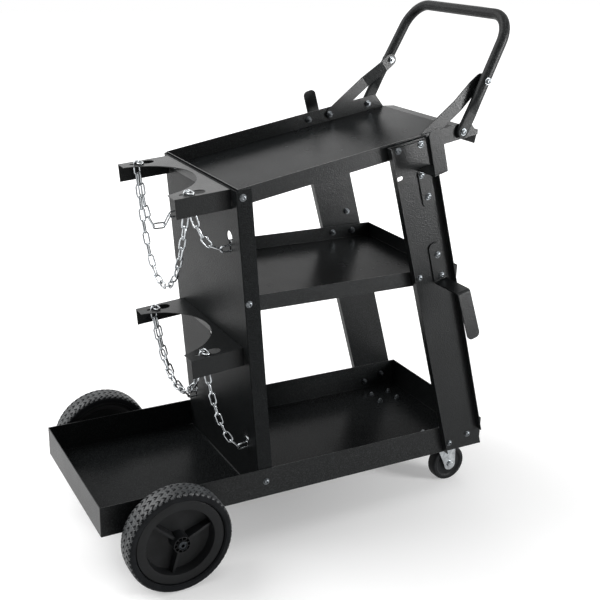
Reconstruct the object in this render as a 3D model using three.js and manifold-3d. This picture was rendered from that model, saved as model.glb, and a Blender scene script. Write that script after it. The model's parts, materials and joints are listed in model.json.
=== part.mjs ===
// Welding cart: a long base tray on two fixed wheels and two swivel casters, a front panel and two
// leaning rear posts that carry a flat middle tray and a tilted top tray, brackets and chains for a
// gas bottle, cable hooks and a tube handle. Millimetres, +Z up, bottle end towards -X, handle towards +X.
import * as THREE from "three";
import { mergeVertices } from "three/addons/utils/BufferGeometryUtils.js";
import Module from "manifold-3d";

// Sheet and fits
const SHEET = 1.5;
const GAP = 0.3;

// Base tray
const BASE_LENGTH = 833;
const BASE_WIDTH = 342;
const BASE_DEPTH = 60;
const BASE_HEIGHT = 108;

// Front panel
const PANEL_FOOT_X = 314;
const PANEL_FOOT_LIFT = 2.5;
const PANEL_LEAN = 5;
const PANEL_TOP = 713;
const PANEL_FLANGE = 30;
const PANEL_HOLE_DIAMETER = 25;
const PANEL_HOLE_HEIGHT = 388;

// Middle tray
const MIDDLE_HEIGHT = 490;
const MIDDLE_DEPTH = 30;
const MIDDLE_REAR_X = 741;

// Top tray
const TOP_FRONT_HEIGHT = 686;
const TOP_TILT = 10.4;
const TOP_LENGTH = 516;
const TOP_DEPTH = 30;
const TOP_WALL_SETBACK = 32;
const TOP_CORNER_LENGTH = 16;
const TOP_CORNER_WIDTH = 20;
const TOP_LIP = 28;

// Rear posts
const POST_FOOT_X = 741;
const POST_LEAN = 15.5;
const POST_WIDTH = 91;
const POST_FLANGE = 14;
const POST_TOP_MARGIN = 4;
const POST_FLANGE_NOTCH = 40;
const POST_BOLT_INSET = 22;
const POST_SLOT_LENGTH = 14;
const POST_SLOT_WIDTH = 8;
const POST_SLOT_INSET = 14;
const POST_SLOT_DROP = 64;
const BOSS_DIAMETER = 24;

// Handle and its braces
const HANDLE_FOOT_SETBACK = 53.5;
const HANDLE_LEAN = 26.6;
const HANDLE_HEIGHT = 229.6;
const HANDLE_DRAW_IN = 3.3;
const HANDLE_BEND = 55;
const HANDLE_DIAMETER = 21;
const HANDLE_FOOT_WIDTH = 25;
const HANDLE_FOOT_THICKNESS = 8;
const HANDLE_FOOT_LENGTH = 32;
const HANDLE_FLARE_LENGTH = 34;
const BRACE_WIDTH = 24;
const BRACE_THICKNESS = 3;
const BRACE_FOOT_AHEAD = 90;
const BRACE_FOOT_LIFT = 2.5;
const BRACE_TUBE_DISTANCE = 102;
const BRACE_FOOT_FLAT = 100;
const BRACE_HEAD_FLAT = 20;

// Cable hooks
const HOOK_STRIP = 2.5;
const HOOK_WIDTH = 28;
const HOOK_BEND = 5;
const HOOK_CORNER = 10;
const LOWER_HOOK_CENTRE = 61;
const LOWER_HOOK_ARM = 386;
const LOWER_HOOK_PLATE = 81;
const LOWER_HOOK_REACH = 76;
const LOWER_HOOK_TONGUE = 98;
const LOWER_HOOK_FLARE = 10;
const UPPER_HOOK_CENTRE = 66;
const UPPER_HOOK_ARM = 621;
const UPPER_HOOK_LEG = 78;
const UPPER_HOOK_REACH = 58;
const UPPER_HOOK_TONGUE = 86;
const UPPER_HOOK_FLARE = 1;
const UPPER_HOOK_CHEEK = 34;

// Gas bottle brackets
const BRACKET_DEPTH = 102;
const BRACKET_WIDTH = 294;
const BRACKET_FLANGE = 35;
const BRACKET_BACK_FLANGE = 22;
const BOTTLE_DIAMETER = 230;
const BOTTLE_WEB = 10;
const UPPER_BRACKET_HEIGHT = 712;
const LOWER_BRACKET_HEIGHT = 414;

// Keyholes that hold the chains
const KEY_SPREAD = 252;
const ARM_KEY_DIAMETER = 25;
const ARM_KEY_SETBACK = 50;
const ARM_SLOT_LENGTH = 36;
const KEY_SLOT_WIDTH = 7;
const PANEL_KEY_DIAMETER = 22;
const PANEL_SLOT_LENGTH = 26;
const UPPER_KEY_HEIGHT = 621;
const LOWER_KEY_HEIGHT = 224;

// Chain
const LINK_PITCH = 22;
const LINK_WIDTH = 14;
const LINK_WIRE = 3.4;
const LINK_BITE = 0.7;
const LOOP_PLAY = 0.5;
const LOOP_OFFSET = 1;
const UPPER_LOOP_SLACK = 1.85;
const LOWER_LOOP_SLACK = 1.3;
const UPPER_RIGHT_SLACK = 1.35;
const UPPER_LEFT_SLACK = 1.02;
const LOWER_SIDE_SLACK = 1.01;

// Fixed wheels and their axle
const WHEEL_X = 126;
const WHEEL_DIAMETER = 200;
const TYRE_WIDTH = 47;
const TYRE_HEIGHT = 15.5;
const TYRE_SHOULDER = 4;
const TREAD_DEPTH = 3;
const TREAD_BLOCKS = 14;
const TREAD_SLOPE = 0.12;
const WHEEL_CLEARANCE = 22.5;
const AXLE_DIAMETER = 14;
const RIM_LIP = 19;
const RIM_WALL = 6;
const RIM_WEB = 5;
const RIM_DISH = 20;
const HUB_DIAMETER = 33;
const HUB_STEP = 3;
const RIM_RIBS = 3;
const RIM_RIB_WIDTH = 6;
const RIM_RIB_TURN = 19;
const SADDLE_STRIP = 3;
const SADDLE_WIDTH = 30;
const SADDLE_FOOT = 22;
const SADDLE_INSET = 40;
const SPACER_WALL = 3;
const CAP_DIAMETER = 18;
const CAP_LENGTH = 4;

// Swivel casters
const CASTER_X = 769;
const CASTER_SPREAD = 212;
const CASTER_TRAIL = 29;
const CASTER_WHEEL_DIAMETER = 82;
const CASTER_WHEEL_WIDTH = 24;
const CASTER_PLATE_LENGTH = 64;
const CASTER_PLATE_WIDTH = 56;
const CASTER_PLATE_THICKNESS = 2.5;
const CASTER_RACE_DIAMETER = 46;
const CASTER_PIN_DIAMETER = 10;
const CASTER_PIN_HEAD = 18;
const CASTER_HEAD_THICKNESS = 3;
const CASTER_CROWN_THICKNESS = 5;
const CASTER_FORK_SHEET = 2.5;
const CASTER_SIDE_CLEARANCE = 1.5;
const CASTER_TOP_CLEARANCE = 4.5;
const CASTER_AXLE_DIAMETER = 8;
const CASTER_BOLT_HEAD = 14;
const CASTER_BOLT_HEIGHT = 4;
const CASTER_FORK_END = 28;
const CASTER_FORK_BACK = 40;

// Values that follow from the sizes above
const LENGTHWISE = new THREE.Vector3(1, 0, 0);
const SIDEWAYS = new THREE.Vector3(0, 1, 0);
const UP = new THREE.Vector3(0, 0, 1);
const rad = THREE.MathUtils.degToRad;
const panelLean = rad(PANEL_LEAN);
const topTilt = rad(TOP_TILT);
const postLean = rad(POST_LEAN);
const handleLean = rad(HANDLE_LEAN);
const baseFloor = BASE_HEIGHT + SHEET;
const panelFoot = baseFloor + PANEL_FOOT_LIFT;
const panelHalf = BASE_WIDTH / 2 - SHEET - GAP;
const trayHalf = panelHalf - SHEET - GAP;
const postInner = BASE_WIDTH / 2 + GAP;
const bossHeight = postInner - GAP - trayHalf;
const keyY = KEY_SPREAD / 2;
const handleFootAlong = TOP_LENGTH - HANDLE_FOOT_SETBACK;
const panelBack = LENGTHWISE.clone().applyAxisAngle(SIDEWAYS, -panelLean);
const panelUp = UP.clone().applyAxisAngle(SIDEWAYS, -panelLean);
const alongPanel = (z) => (z - panelFoot) / Math.cos(panelLean);
const panelX = (z) => PANEL_FOOT_X - (z - panelFoot) * Math.tan(panelLean);
const panelBackX = (z) => panelX(z) + SHEET / Math.cos(panelLean);
const topFrontX = panelBackX(TOP_FRONT_HEIGHT) + GAP + TOP_DEPTH * Math.sin(topTilt);

// A point of the world, from the distance behind the panel's front face, to the side and up the panel.
function panelPoint(behind, y, along) {
  const foot = new THREE.Vector3(PANEL_FOOT_X, y, panelFoot);
  return foot.addScaledVector(panelBack, behind).addScaledVector(panelUp, along);
}

// A point of the top tray, from the distance along its floor and above its underside.
function topTrayPoint(along, up) {
  const x = topFrontX + along * Math.cos(topTilt) - up * Math.sin(topTilt);
  const z = TOP_FRONT_HEIGHT + along * Math.sin(topTilt) + up * Math.cos(topTilt);
  return new THREE.Vector3(x, 0, z);
}

// A point of the world in a post's own frame: across the post, and along it from its foot.
function postPoint(x, z) {
  const dx = x - POST_FOOT_X;
  const dz = z - BASE_HEIGHT;
  const across = dx * Math.cos(postLean) + dz * Math.sin(postLean);
  const along = -dx * Math.sin(postLean) + dz * Math.cos(postLean);
  return new THREE.Vector2(across, along);
}

// Joining and cutting closed geometries
const wasm = await Module();
wasm.setup();

function toSolid(geometry) {
  const bare = geometry.index ? geometry.toNonIndexed() : geometry.clone();
  bare.deleteAttribute("normal");
  bare.deleteAttribute("uv");
  const merged = mergeVertices(bare, 1e-4);
  const mesh = new wasm.Mesh({
    numProp: 3,
    vertProperties: merged.attributes.position.array,
    triVerts: new Uint32Array(merged.index.array),
  });
  return new wasm.Manifold(mesh);
}

function toGeometry(solid) {
  const mesh = solid.getMesh();
  const geometry = new THREE.BufferGeometry();
  geometry.setAttribute("position", new THREE.BufferAttribute(mesh.vertProperties, 3));
  geometry.setIndex(new THREE.BufferAttribute(mesh.triVerts, 1));
  geometry.computeVertexNormals();
  return geometry;
}

function join(...geometries) {
  const solids = geometries.map(toSolid);
  return toGeometry(solids.reduce((sum, solid) => sum.add(solid)));
}

function cut(geometry, ...tools) {
  return toGeometry(tools.map(toSolid).reduce((left, tool) => left.subtract(tool), toSolid(geometry)));
}

function common(geometry, other) {
  return toGeometry(toSolid(geometry).intersect(toSolid(other)));
}

// Basic forms
function block(x0, x1, y0, y1, z0, z1) {
  const box = new THREE.BoxGeometry(x1 - x0, y1 - y0, z1 - z0);
  return box.translate((x0 + x1) / 2, (y0 + y1) / 2, (z0 + z1) / 2);
}

function outline(points) {
  return new THREE.Shape(points.map(([x, y]) => new THREE.Vector2(x, y)));
}

function extrude(shape, depth, curveSegments = 12) {
  return new THREE.ExtrudeGeometry(shape, { depth, bevelEnabled: false, curveSegments });
}

// Extrudes a shape drawn in X and Z along +Y, from y = start.
function extrudeAcross(shape, start, depth, curveSegments) {
  const geometry = extrude(shape, depth, curveSegments);
  return geometry.rotateX(Math.PI / 2).translate(0, start + depth, 0);
}

// Extrudes a shape drawn in Y and Z along +X, from x = start.
function extrudeLengthwise(shape, start, depth) {
  const turn = new THREE.Matrix4().makeBasis(SIDEWAYS, UP, LENGTHWISE);
  return extrude(shape, depth).applyMatrix4(turn).translate(start, 0, 0);
}

// Round bars along Y, Z and X
function barY(diameter, x, z, y0, y1, sides = 12) {
  const bar = new THREE.CylinderGeometry(diameter / 2, diameter / 2, y1 - y0, sides);
  return bar.translate(x, (y0 + y1) / 2, z);
}

function barZ(diameter, x, y, z0, z1, sides = 12) {
  const bar = new THREE.CylinderGeometry(diameter / 2, diameter / 2, z1 - z0, sides);
  return bar.rotateX(Math.PI / 2).translate(x, y, (z0 + z1) / 2);
}

function barX(diameter, y, z, x0, x1, sides = 12) {
  const bar = new THREE.CylinderGeometry(diameter / 2, diameter / 2, x1 - x0, sides);
  return bar.rotateZ(Math.PI / 2).translate((x0 + x1) / 2, y, z);
}

// A slot with round ends, from (x0, y0) to (x1, y1).
function slotShape(x0, y0, x1, y1, width) {
  const along = Math.atan2(y1 - y0, x1 - x0);
  const shape = new THREE.Shape();
  shape.absarc(x0, y0, width / 2, along + Math.PI / 2, along + 1.5 * Math.PI);
  shape.absarc(x1, y1, width / 2, along - Math.PI / 2, along + Math.PI / 2);
  shape.closePath();
  return shape;
}

// The side view of a strip of even thickness that follows the points and has round bends.
function stripShape(points, thickness, bend) {
  const corners = points.map(([x, y]) => new THREE.Vector2(x, y));
  const centre = [corners[0]];
  for (let i = 1; i < corners.length - 1; i += 1) {
    const before = corners[i - 1].clone().sub(corners[i]);
    const after = corners[i + 1].clone().sub(corners[i]);
    const turn = Math.abs(before.angleTo(after));
    const inset = Math.min(bend / Math.tan(turn / 2), before.length() / 2, after.length() / 2);
    const start = corners[i].clone().addScaledVector(before.normalize(), inset);
    const end = corners[i].clone().addScaledVector(after.normalize(), inset);
    const arc = new THREE.QuadraticBezierCurve(start, corners[i], end);
    centre.push(...arc.getPoints(3));
  }
  centre.push(corners.at(-1));
  const side = (sign) =>
    centre.map((point, i) => {
      const ahead = centre[Math.min(i + 1, centre.length - 1)];
      const behind = centre[Math.max(i - 1, 0)];
      const along = ahead.clone().sub(behind).normalize();
      return point.clone().add(new THREE.Vector2(-along.y, along.x).multiplyScalar((sign * thickness) / 2));
    });
  return new THREE.Shape([...side(1), ...side(-1).reverse()]);
}

// A skin over rings of points, closed by flat ends unless the rings run round in a loop.
function skin(rings, looped) {
  const count = rings[0].length;
  const positions = [];
  const face = (a, b, c) => positions.push(...a.toArray(), ...b.toArray(), ...c.toArray());
  const spans = looped ? rings.length : rings.length - 1;
  for (let i = 0; i < spans; i += 1) {
    const near = rings[i];
    const far = rings[(i + 1) % rings.length];
    for (let j = 0; j < count; j += 1) {
      const k = (j + 1) % count;
      face(near[j], near[k], far[k]);
      face(near[j], far[k], far[j]);
    }
  }
  if (!looped) {
    const first = rings[0];
    const last = rings.at(-1);
    for (let j = 1; j < count - 1; j += 1) {
      face(first[0], first[j + 1], first[j]);
      face(last[0], last[j], last[j + 1]);
    }
  }
  const geometry = new THREE.BufferGeometry();
  geometry.setAttribute("position", new THREE.Float32BufferAttribute(positions, 3));
  return geometry;
}

// Materials
const paint = { color: 0x17181a, roughness: 0.5, metalness: 0.3 };
const zinc = { color: 0xb9bec2, roughness: 0.32, metalness: 1 };
const steel = { color: 0x8d9196, roughness: 0.4, metalness: 1 };
const rubber = { color: 0x26272a, roughness: 0.85, metalness: 0 };
const plastic = { color: 0x1b1c1f, roughness: 0.55, metalness: 0 };

const cart = new THREE.Group();

function add(name, geometry, finish, parent = cart) {
  const mesh = new THREE.Mesh(geometry, new THREE.MeshStandardMaterial(finish));
  mesh.name = name;
  parent.add(mesh);
  return mesh;
}

// Adds a piece made for the right side, and its mirror image on the left.
function addPair(name, geometry, finish, parent = cart) {
  add(name + "_right", geometry, finish, parent);
  add(name + "_left", geometry.clone(), finish, parent).scale.y = -1;
}

// A group that stands at x and z and leans by an angle about Y, towards +X if positive.
function leaningGroup(x, z, lean) {
  const group = new THREE.Group();
  group.position.set(x, 0, z);
  group.rotation.y = lean;
  cart.add(group);
  return group;
}

// Base tray: a floor with four upright walls.
function makeBaseTray() {
  const half = BASE_WIDTH / 2;
  const rim = BASE_HEIGHT + BASE_DEPTH;
  const outside = block(0, BASE_LENGTH, -half, half, BASE_HEIGHT, rim);
  const inside = block(SHEET, BASE_LENGTH - SHEET, -half + SHEET, half - SHEET, baseFloor, rim + SHEET);
  add("base_tray", cut(outside, inside), paint);
}

// The panel's own frame: x behind its front face, z up along it. The bottle brackets are square to it.
const panelGroup = leaningGroup(PANEL_FOOT_X, panelFoot, -panelLean);

// Front panel: one sheet folded back at both sides, with keyholes for the chains.
function makeFrontPanel() {
  const length = alongPanel(PANEL_TOP);
  const sheet = block(0, PANEL_FLANGE, -panelHalf, panelHalf, 0, length);
  const inner = panelHalf - SHEET;
  const inside = block(SHEET, PANEL_FLANGE + SHEET, -inner, inner, -SHEET, length + SHEET);
  const through = [-SHEET, 2 * SHEET];
  const tools = [barX(PANEL_HOLE_DIAMETER, 0, alongPanel(PANEL_HOLE_HEIGHT), ...through)];
  for (const height of [UPPER_KEY_HEIGHT, LOWER_KEY_HEIGHT]) {
    for (const side of [-1, 1]) {
      tools.push(barX(PANEL_KEY_DIAMETER, side * keyY, alongPanel(height), ...through, 12));
      tools.push(barX(KEY_SLOT_WIDTH, side * keyY, alongPanel(height) - PANEL_SLOT_LENGTH, ...through, 8));
      const edges = [side * keyY - KEY_SLOT_WIDTH / 2, side * keyY + KEY_SLOT_WIDTH / 2];
      tools.push(block(...through, ...edges, alongPanel(height) - PANEL_SLOT_LENGTH, alongPanel(height)));
    }
  }
  add("front_panel", cut(sheet, inside, ...tools), paint, panelGroup);
}

// Bosses pressed out of a tray's wall, which seat the posts on the right side.
function bosses(places) {
  return places.map(([x, z]) => barY(BOSS_DIAMETER, x, z, trayHalf - SHEET / 2, trayHalf + bossHeight, 12));
}

function mirrored(geometry) {
  const solid = toSolid(geometry).mirror([0, 1, 0]);
  return toGeometry(solid);
}

// Middle tray: flat, with four walls, carried by the panel's flanges and the posts.
function makeMiddleTray() {
  const front = panelBackX(MIDDLE_HEIGHT) + GAP;
  const rim = MIDDLE_HEIGHT + MIDDLE_DEPTH;
  const outside = block(front, MIDDLE_REAR_X, -trayHalf, trayHalf, MIDDLE_HEIGHT, rim);
  const x = [front + SHEET, MIDDLE_REAR_X - SHEET];
  const y = [-trayHalf + SHEET, trayHalf - SHEET];
  const tray = cut(outside, block(...x, ...y, MIDDLE_HEIGHT + SHEET, rim + SHEET));
  const middle = MIDDLE_HEIGHT + MIDDLE_DEPTH / 2;
  const postFront = POST_FOOT_X - (middle - BASE_HEIGHT) * Math.tan(postLean);
  const places = [POST_BOLT_INSET, LOWER_HOOK_CENTRE].map((across) => [postFront + across, middle]);
  const seats = bosses(places);
  add("middle_tray", join(tray, ...seats, ...seats.map(mirrored)), paint);
}

// Top tray: tilted up towards the handle and open at the rear, with cut corners and slanted wall ends.
function makeTopTray() {
  const group = leaningGroup(topFrontX, TOP_FRONT_HEIGHT, -topTilt);
  const shoulder = TOP_LENGTH - TOP_CORNER_LENGTH;
  const inner = trayHalf - TOP_CORNER_WIDTH;
  const floorShape = outline([
    [0, -trayHalf],
    [shoulder, -trayHalf],
    [TOP_LENGTH, -inner],
    [TOP_LENGTH, inner],
    [shoulder, trayHalf],
    [0, trayHalf],
  ]);
  const wallShape = outline([
    [0, 0],
    [shoulder, 0],
    [shoulder, SHEET],
    [TOP_LENGTH - TOP_WALL_SETBACK, TOP_DEPTH],
    [0, TOP_DEPTH],
  ]);
  const walls = [-trayHalf, trayHalf - SHEET].map((start) => extrudeAcross(wallShape, start, SHEET));
  const front = block(0, SHEET, -trayHalf, trayHalf, 0, TOP_DEPTH);
  const lipShape = outline([
    [-inner, SHEET],
    [-inner + TOP_LIP / 2, -TOP_LIP],
    [inner - TOP_LIP / 2, -TOP_LIP],
    [inner, SHEET],
  ]);
  const lip = extrudeLengthwise(lipShape, TOP_LENGTH - SHEET, SHEET);
  const seat = postBoltOnTopTray();
  const seats = bosses([[seat, TOP_DEPTH / 2]]);
  const tray = join(extrude(floorShape, SHEET), ...walls, front, lip, ...seats, ...seats.map(mirrored));
  add("top_tray", tray, paint, group);
}

// How far along the top tray the front bolt of a post lies.
function postBoltOnTopTray() {
  const relative = postLean - topTilt;
  const start = postPoint(topFrontX, TOP_FRONT_HEIGHT);
  const rise = (TOP_DEPTH / 2) * Math.sin(relative);
  return (POST_BOLT_INSET - start.x - rise) / Math.cos(relative);
}

// Rear posts: channels that open outwards, cut level at the foot and along the top tray's rim.
function makeRearPosts() {
  const group = leaningGroup(POST_FOOT_X, BASE_HEIGHT, -postLean);
  const rim = postPoint(topFrontX, TOP_FRONT_HEIGHT);
  const relative = topTilt - postLean;
  const length = TOP_FRONT_HEIGHT + TOP_LENGTH;
  const profile = outline([
    [0, postInner],
    [POST_WIDTH, postInner],
    [POST_WIDTH, postInner + POST_FLANGE],
    [POST_WIDTH - SHEET, postInner + POST_FLANGE],
    [POST_WIDTH - SHEET, postInner + SHEET],
    [SHEET, postInner + SHEET],
    [SHEET, postInner + POST_FLANGE],
    [0, postInner + POST_FLANGE],
  ]);
  const channel = extrude(profile, length).translate(0, 0, -POST_WIDTH);
  const y = [postInner - SHEET, postInner + 2 * POST_FLANGE];
  const foot = block(-length, length, ...y, -length, SHEET).rotateY(postLean);
  const top = block(-length, length, ...y, TOP_DEPTH - POST_TOP_MARGIN, length);
  top.rotateY(-relative).translate(rim.x, 0, rim.y);
  const notch = block(POST_WIDTH - 2 * SHEET, POST_WIDTH + SHEET, postInner + SHEET, y[1], -length, 0);
  notch.translate(0, 0, POST_FLANGE_NOTCH - POST_WIDTH * Math.sin(postLean));
  const slotUp = postTop(POST_SLOT_INSET) - POST_SLOT_DROP;
  const half = (POST_SLOT_LENGTH - POST_SLOT_WIDTH) / 2;
  const slot = slotShape(POST_SLOT_INSET - half, slotUp, POST_SLOT_INSET + half, slotUp, POST_SLOT_WIDTH);
  const opening = extrudeAcross(slot, y[0], 3 * SHEET, 6);
  addPair("rear_post", cut(channel, foot, top, notch, opening), paint, group);
}

// The height along a post, at a place across it, where its upper end meets the top tray's wall.
function postTop(across) {
  const rim = postPoint(topFrontX, TOP_FRONT_HEIGHT);
  const relative = topTilt - postLean;
  const up = TOP_DEPTH - POST_TOP_MARGIN;
  return rim.y + up / Math.cos(relative) + (across - rim.x) * Math.tan(relative);
}

// Gas bottle bracket: a plate with two arms round the bottle, turned down at the sides and the back.
function makeBottleBracket(name, height) {
  const top = alongPanel(height);
  const front = -GAP - BRACKET_DEPTH;
  const half = BRACKET_WIDTH / 2;
  const plate = block(front, -GAP, -half, half, top - SHEET, top);
  const foot = top - BRACKET_FLANGE;
  const sides = [-half, half - SHEET].map((y) => block(front, -GAP, y, y + SHEET, foot, top));
  const rear = block(-GAP - SHEET, -GAP, -half, half, top - BRACKET_BACK_FLANGE, top);
  const through = [top - 2 * SHEET, top + SHEET];
  const bottleX = -GAP - BOTTLE_WEB - BOTTLE_DIAMETER / 2;
  const hole = -GAP - ARM_KEY_SETBACK;
  const slotEnd = hole - ARM_SLOT_LENGTH + KEY_SLOT_WIDTH / 2;
  const tools = [barZ(BOTTLE_DIAMETER, bottleX, 0, ...through, 40)];
  for (const y of [-keyY, keyY]) {
    tools.push(barZ(ARM_KEY_DIAMETER, hole, y, ...through));
    tools.push(barZ(KEY_SLOT_WIDTH, slotEnd, y, ...through, 8));
    tools.push(block(slotEnd, hole, y - KEY_SLOT_WIDTH / 2, y + KEY_SLOT_WIDTH / 2, ...through));
  }
  add(name, cut(join(plate, ...sides, rear), ...tools), paint, panelGroup);
}

// Handle: a bent tube whose ends are pressed flat where they bolt to the top tray's walls.
const handleFoot = topTrayPoint(handleFootAlong, TOP_DEPTH / 2);
const handleFootY = trayHalf + GAP + HANDLE_FOOT_THICKNESS / 2;

function handleLegY(up) {
  return handleFootY - Math.max(0, up - HANDLE_FOOT_LENGTH) * Math.tan(rad(HANDLE_DRAW_IN));
}

function makeHandle() {
  const group = leaningGroup(handleFoot.x, handleFoot.z, handleLean);
  const draw = rad(HANDLE_DRAW_IN);
  const corner = new THREE.Vector2(handleLegY(HANDLE_HEIGHT), HANDLE_HEIGHT);
  const inset = HANDLE_BEND * Math.tan((Math.PI / 2 - draw) / 2);
  const centre = new THREE.Vector2(corner.x - inset, HANDLE_HEIGHT - HANDLE_BEND);
  const stations = [];
  const low = -HANDLE_FOOT_WIDTH / 2;
  const flare = [low, HANDLE_FOOT_LENGTH, HANDLE_FOOT_LENGTH + HANDLE_FLARE_LENGTH];
  for (const up of flare) {
    const flat = up < flare[2];
    stations.push({ y: handleLegY(up), z: up, turn: flat ? 0 : draw, flat });
  }
  const steps = 5;
  for (let i = 0; i <= steps; i += 1) {
    const turn = draw + ((Math.PI / 2 - draw) * i) / steps;
    const y = centre.x + HANDLE_BEND * Math.cos(turn);
    const z = centre.y + HANDLE_BEND * Math.sin(turn);
    stations.push({ y, z, turn, flat: false });
  }
  const other = stations.map(({ y, z, turn, flat }) => ({ y: -y, z, turn: Math.PI - turn, flat })).reverse();
  const sides = 12;
  const rings = [...stations, ...other].map(({ y, z, turn, flat }) => {
    const wide = flat ? HANDLE_FOOT_WIDTH / 2 : HANDLE_DIAMETER / 2;
    const thick = flat ? HANDLE_FOOT_THICKNESS / 2 : HANDLE_DIAMETER / 2;
    return Array.from({ length: sides }, (_, j) => {
      const angle = (2 * Math.PI * (j + 0.5)) / sides;
      const round = [wide * Math.cos(angle), thick * Math.sin(angle)];
      const across = flat ? flattened(angle, wide, thick) : round;
      const outward = across[1];
      return new THREE.Vector3(across[0], y + outward * Math.cos(turn), z + outward * Math.sin(turn));
    });
  });
  add("handle_tube", skin(rings, false), paint, group);
}

// A point on the outline of a tube pressed flat: straight faces with round edges.
function flattened(angle, wide, thick) {
  const straight = wide - thick;
  const x = Math.cos(angle);
  return [straight * Math.sign(x) * Math.min(1, 3 * Math.abs(x)) + thick * x, thick * Math.sin(angle)];
}

// Handle braces: strips from the inside of the top tray's walls to the tube, drawn in with it.
function makeBraces() {
  const footHeight = SHEET + BRACE_FOOT_LIFT + BRACE_WIDTH / 2;
  const foot = topTrayPoint(handleFootAlong - BRACE_FOOT_AHEAD, footHeight);
  const run = handleFoot.x + BRACE_TUBE_DISTANCE * Math.sin(handleLean) - foot.x;
  const climb = handleFoot.z + BRACE_TUBE_DISTANCE * Math.cos(handleLean) - foot.z;
  const length = Math.hypot(run, climb);
  const group = leaningGroup(foot.x, foot.z, -Math.atan2(climb, run));
  const half = BRACE_WIDTH / 2;
  const footY = trayHalf - SHEET - GAP - BRACE_THICKNESS / 2;
  const headY = handleLegY(BRACE_TUBE_DISTANCE + half) - HANDLE_DIAMETER / 2 - GAP - BRACE_THICKNESS / 2;
  const strip = stripShape(
    [
      [-half, footY],
      [BRACE_FOOT_FLAT, footY],
      [length - BRACE_HEAD_FLAT, headY],
      [length + half, headY],
    ],
    BRACE_THICKNESS,
    HOOK_BEND,
  );
  const band = extrude(strip, BRACE_WIDTH).translate(0, 0, -half);
  const ends = extrudeAcross(slotShape(0, 0, length, 0, BRACE_WIDTH), headY - footY, 2 * footY, 5);
  addPair("handle_brace", common(band, ends), paint, group);
}

// Cable hooks: strips bolted inside the posts' channels that reach out and turn up or down.
const hookInner = postInner + SHEET + GAP;

function makeHooks() {
  const group = leaningGroup(POST_FOOT_X, BASE_HEIGHT, -postLean);
  const plateY = hookInner + HOOK_STRIP / 2;
  const lowerTip = LOWER_HOOK_ARM - LOWER_HOOK_TONGUE;
  const lower = bentStrip(LOWER_HOOK_CENTRE, lowerTip, [
    [plateY, LOWER_HOOK_ARM + LOWER_HOOK_PLATE],
    [plateY, LOWER_HOOK_ARM],
    [plateY + LOWER_HOOK_REACH, LOWER_HOOK_ARM],
    [plateY + LOWER_HOOK_REACH + LOWER_HOOK_FLARE, lowerTip],
  ]);
  addPair("lower_cable_hook", lower, paint, group);
  const upperTip = UPPER_HOOK_ARM + UPPER_HOOK_TONGUE;
  const upper = bentStrip(UPPER_HOOK_CENTRE, upperTip, [
    [plateY, UPPER_HOOK_ARM - UPPER_HOOK_LEG],
    [plateY, UPPER_HOOK_ARM],
    [plateY + UPPER_HOOK_REACH, UPPER_HOOK_ARM],
    [plateY + UPPER_HOOK_REACH + UPPER_HOOK_FLARE, upperTip],
  ]);
  const left = UPPER_HOOK_CENTRE - HOOK_WIDTH / 2;
  const cheekLeft = SHEET + GAP + HOOK_BEND;
  const cheekTop = (across) => postTop(across) - POST_TOP_MARGIN;
  const right = left + HOOK_WIDTH;
  const cheek = outline([
    [left, UPPER_HOOK_ARM - UPPER_HOOK_LEG / 2],
    [right, UPPER_HOOK_ARM - UPPER_HOOK_LEG / 2],
    [right, cheekTop(right)],
    [cheekLeft, cheekTop(cheekLeft)],
    [cheekLeft, cheekTop(cheekLeft) - UPPER_HOOK_CHEEK],
    [left, UPPER_HOOK_ARM - HOOK_BEND],
  ]);
  addPair("upper_cable_hook", join(upper, extrudeAcross(cheek, hookInner, HOOK_STRIP)), paint, group);
}

// A strip bent through points in Y and Z, with rounded corners at its two ends, centred across a post.
function bentStrip(across, tip, points) {
  const half = HOOK_WIDTH / 2;
  const strip = extrudeLengthwise(stripShape(points, HOOK_STRIP, HOOK_BEND), across - half, HOOK_WIDTH);
  const ends = [points[0][1], tip];
  const reach = points.at(-1)[0] + HOOK_STRIP;
  const low = Math.min(...ends);
  const high = Math.max(...ends);
  const face = new THREE.Shape();
  face.absarc(across - half + HOOK_CORNER, low + HOOK_CORNER, HOOK_CORNER, Math.PI, 1.5 * Math.PI);
  face.absarc(across + half - HOOK_CORNER, low + HOOK_CORNER, HOOK_CORNER, 1.5 * Math.PI, 2 * Math.PI);
  face.absarc(across + half - HOOK_CORNER, high - HOOK_CORNER, HOOK_CORNER, 0, Math.PI / 2);
  face.absarc(across - half + HOOK_CORNER, high - HOOK_CORNER, HOOK_CORNER, Math.PI / 2, Math.PI);
  return common(strip, extrudeAcross(face, 0, reach, 3));
}

// One chain link: a wire bent to a long ring, from the place where it bears at one end to the other.
function linkGeometry(from, to, normal) {
  const along = to.clone().sub(from);
  const centre = from.clone().addScaledVector(along, 0.5);
  along.normalize();
  const across = new THREE.Vector3().crossVectors(normal, along).normalize();
  const flat = new THREE.Vector3().crossVectors(along, across);
  const radius = (LINK_WIDTH - LINK_WIRE) / 2;
  const bearing = radius - LINK_WIRE / 2;
  const steps = 3;
  const sides = 4;
  const straight = LINK_PITCH / 2 - bearing * Math.cos(Math.PI / steps / 2);
  const rings = [];
  for (const end of [1, -1]) {
    for (let i = 0; i <= steps; i += 1) {
      const angle = (Math.PI * i) / steps - Math.PI / 2 + (end < 0 ? Math.PI : 0);
      const out = along.clone().multiplyScalar(Math.cos(angle)).addScaledVector(across, Math.sin(angle));
      const middle = centre.clone().addScaledVector(along, end * straight).addScaledVector(out, radius);
      rings.push(
        Array.from({ length: sides }, (_, j) => {
          const around = (2 * Math.PI * j) / sides;
          const inward = (-Math.cos(around) * LINK_WIRE) / 2;
          const sideways = (Math.sin(around) * LINK_WIRE) / 2;
          return middle.clone().addScaledVector(out, inward).addScaledVector(flat, sideways);
        }),
      );
    }
  }
  return skin(rings, true);
}

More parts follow.
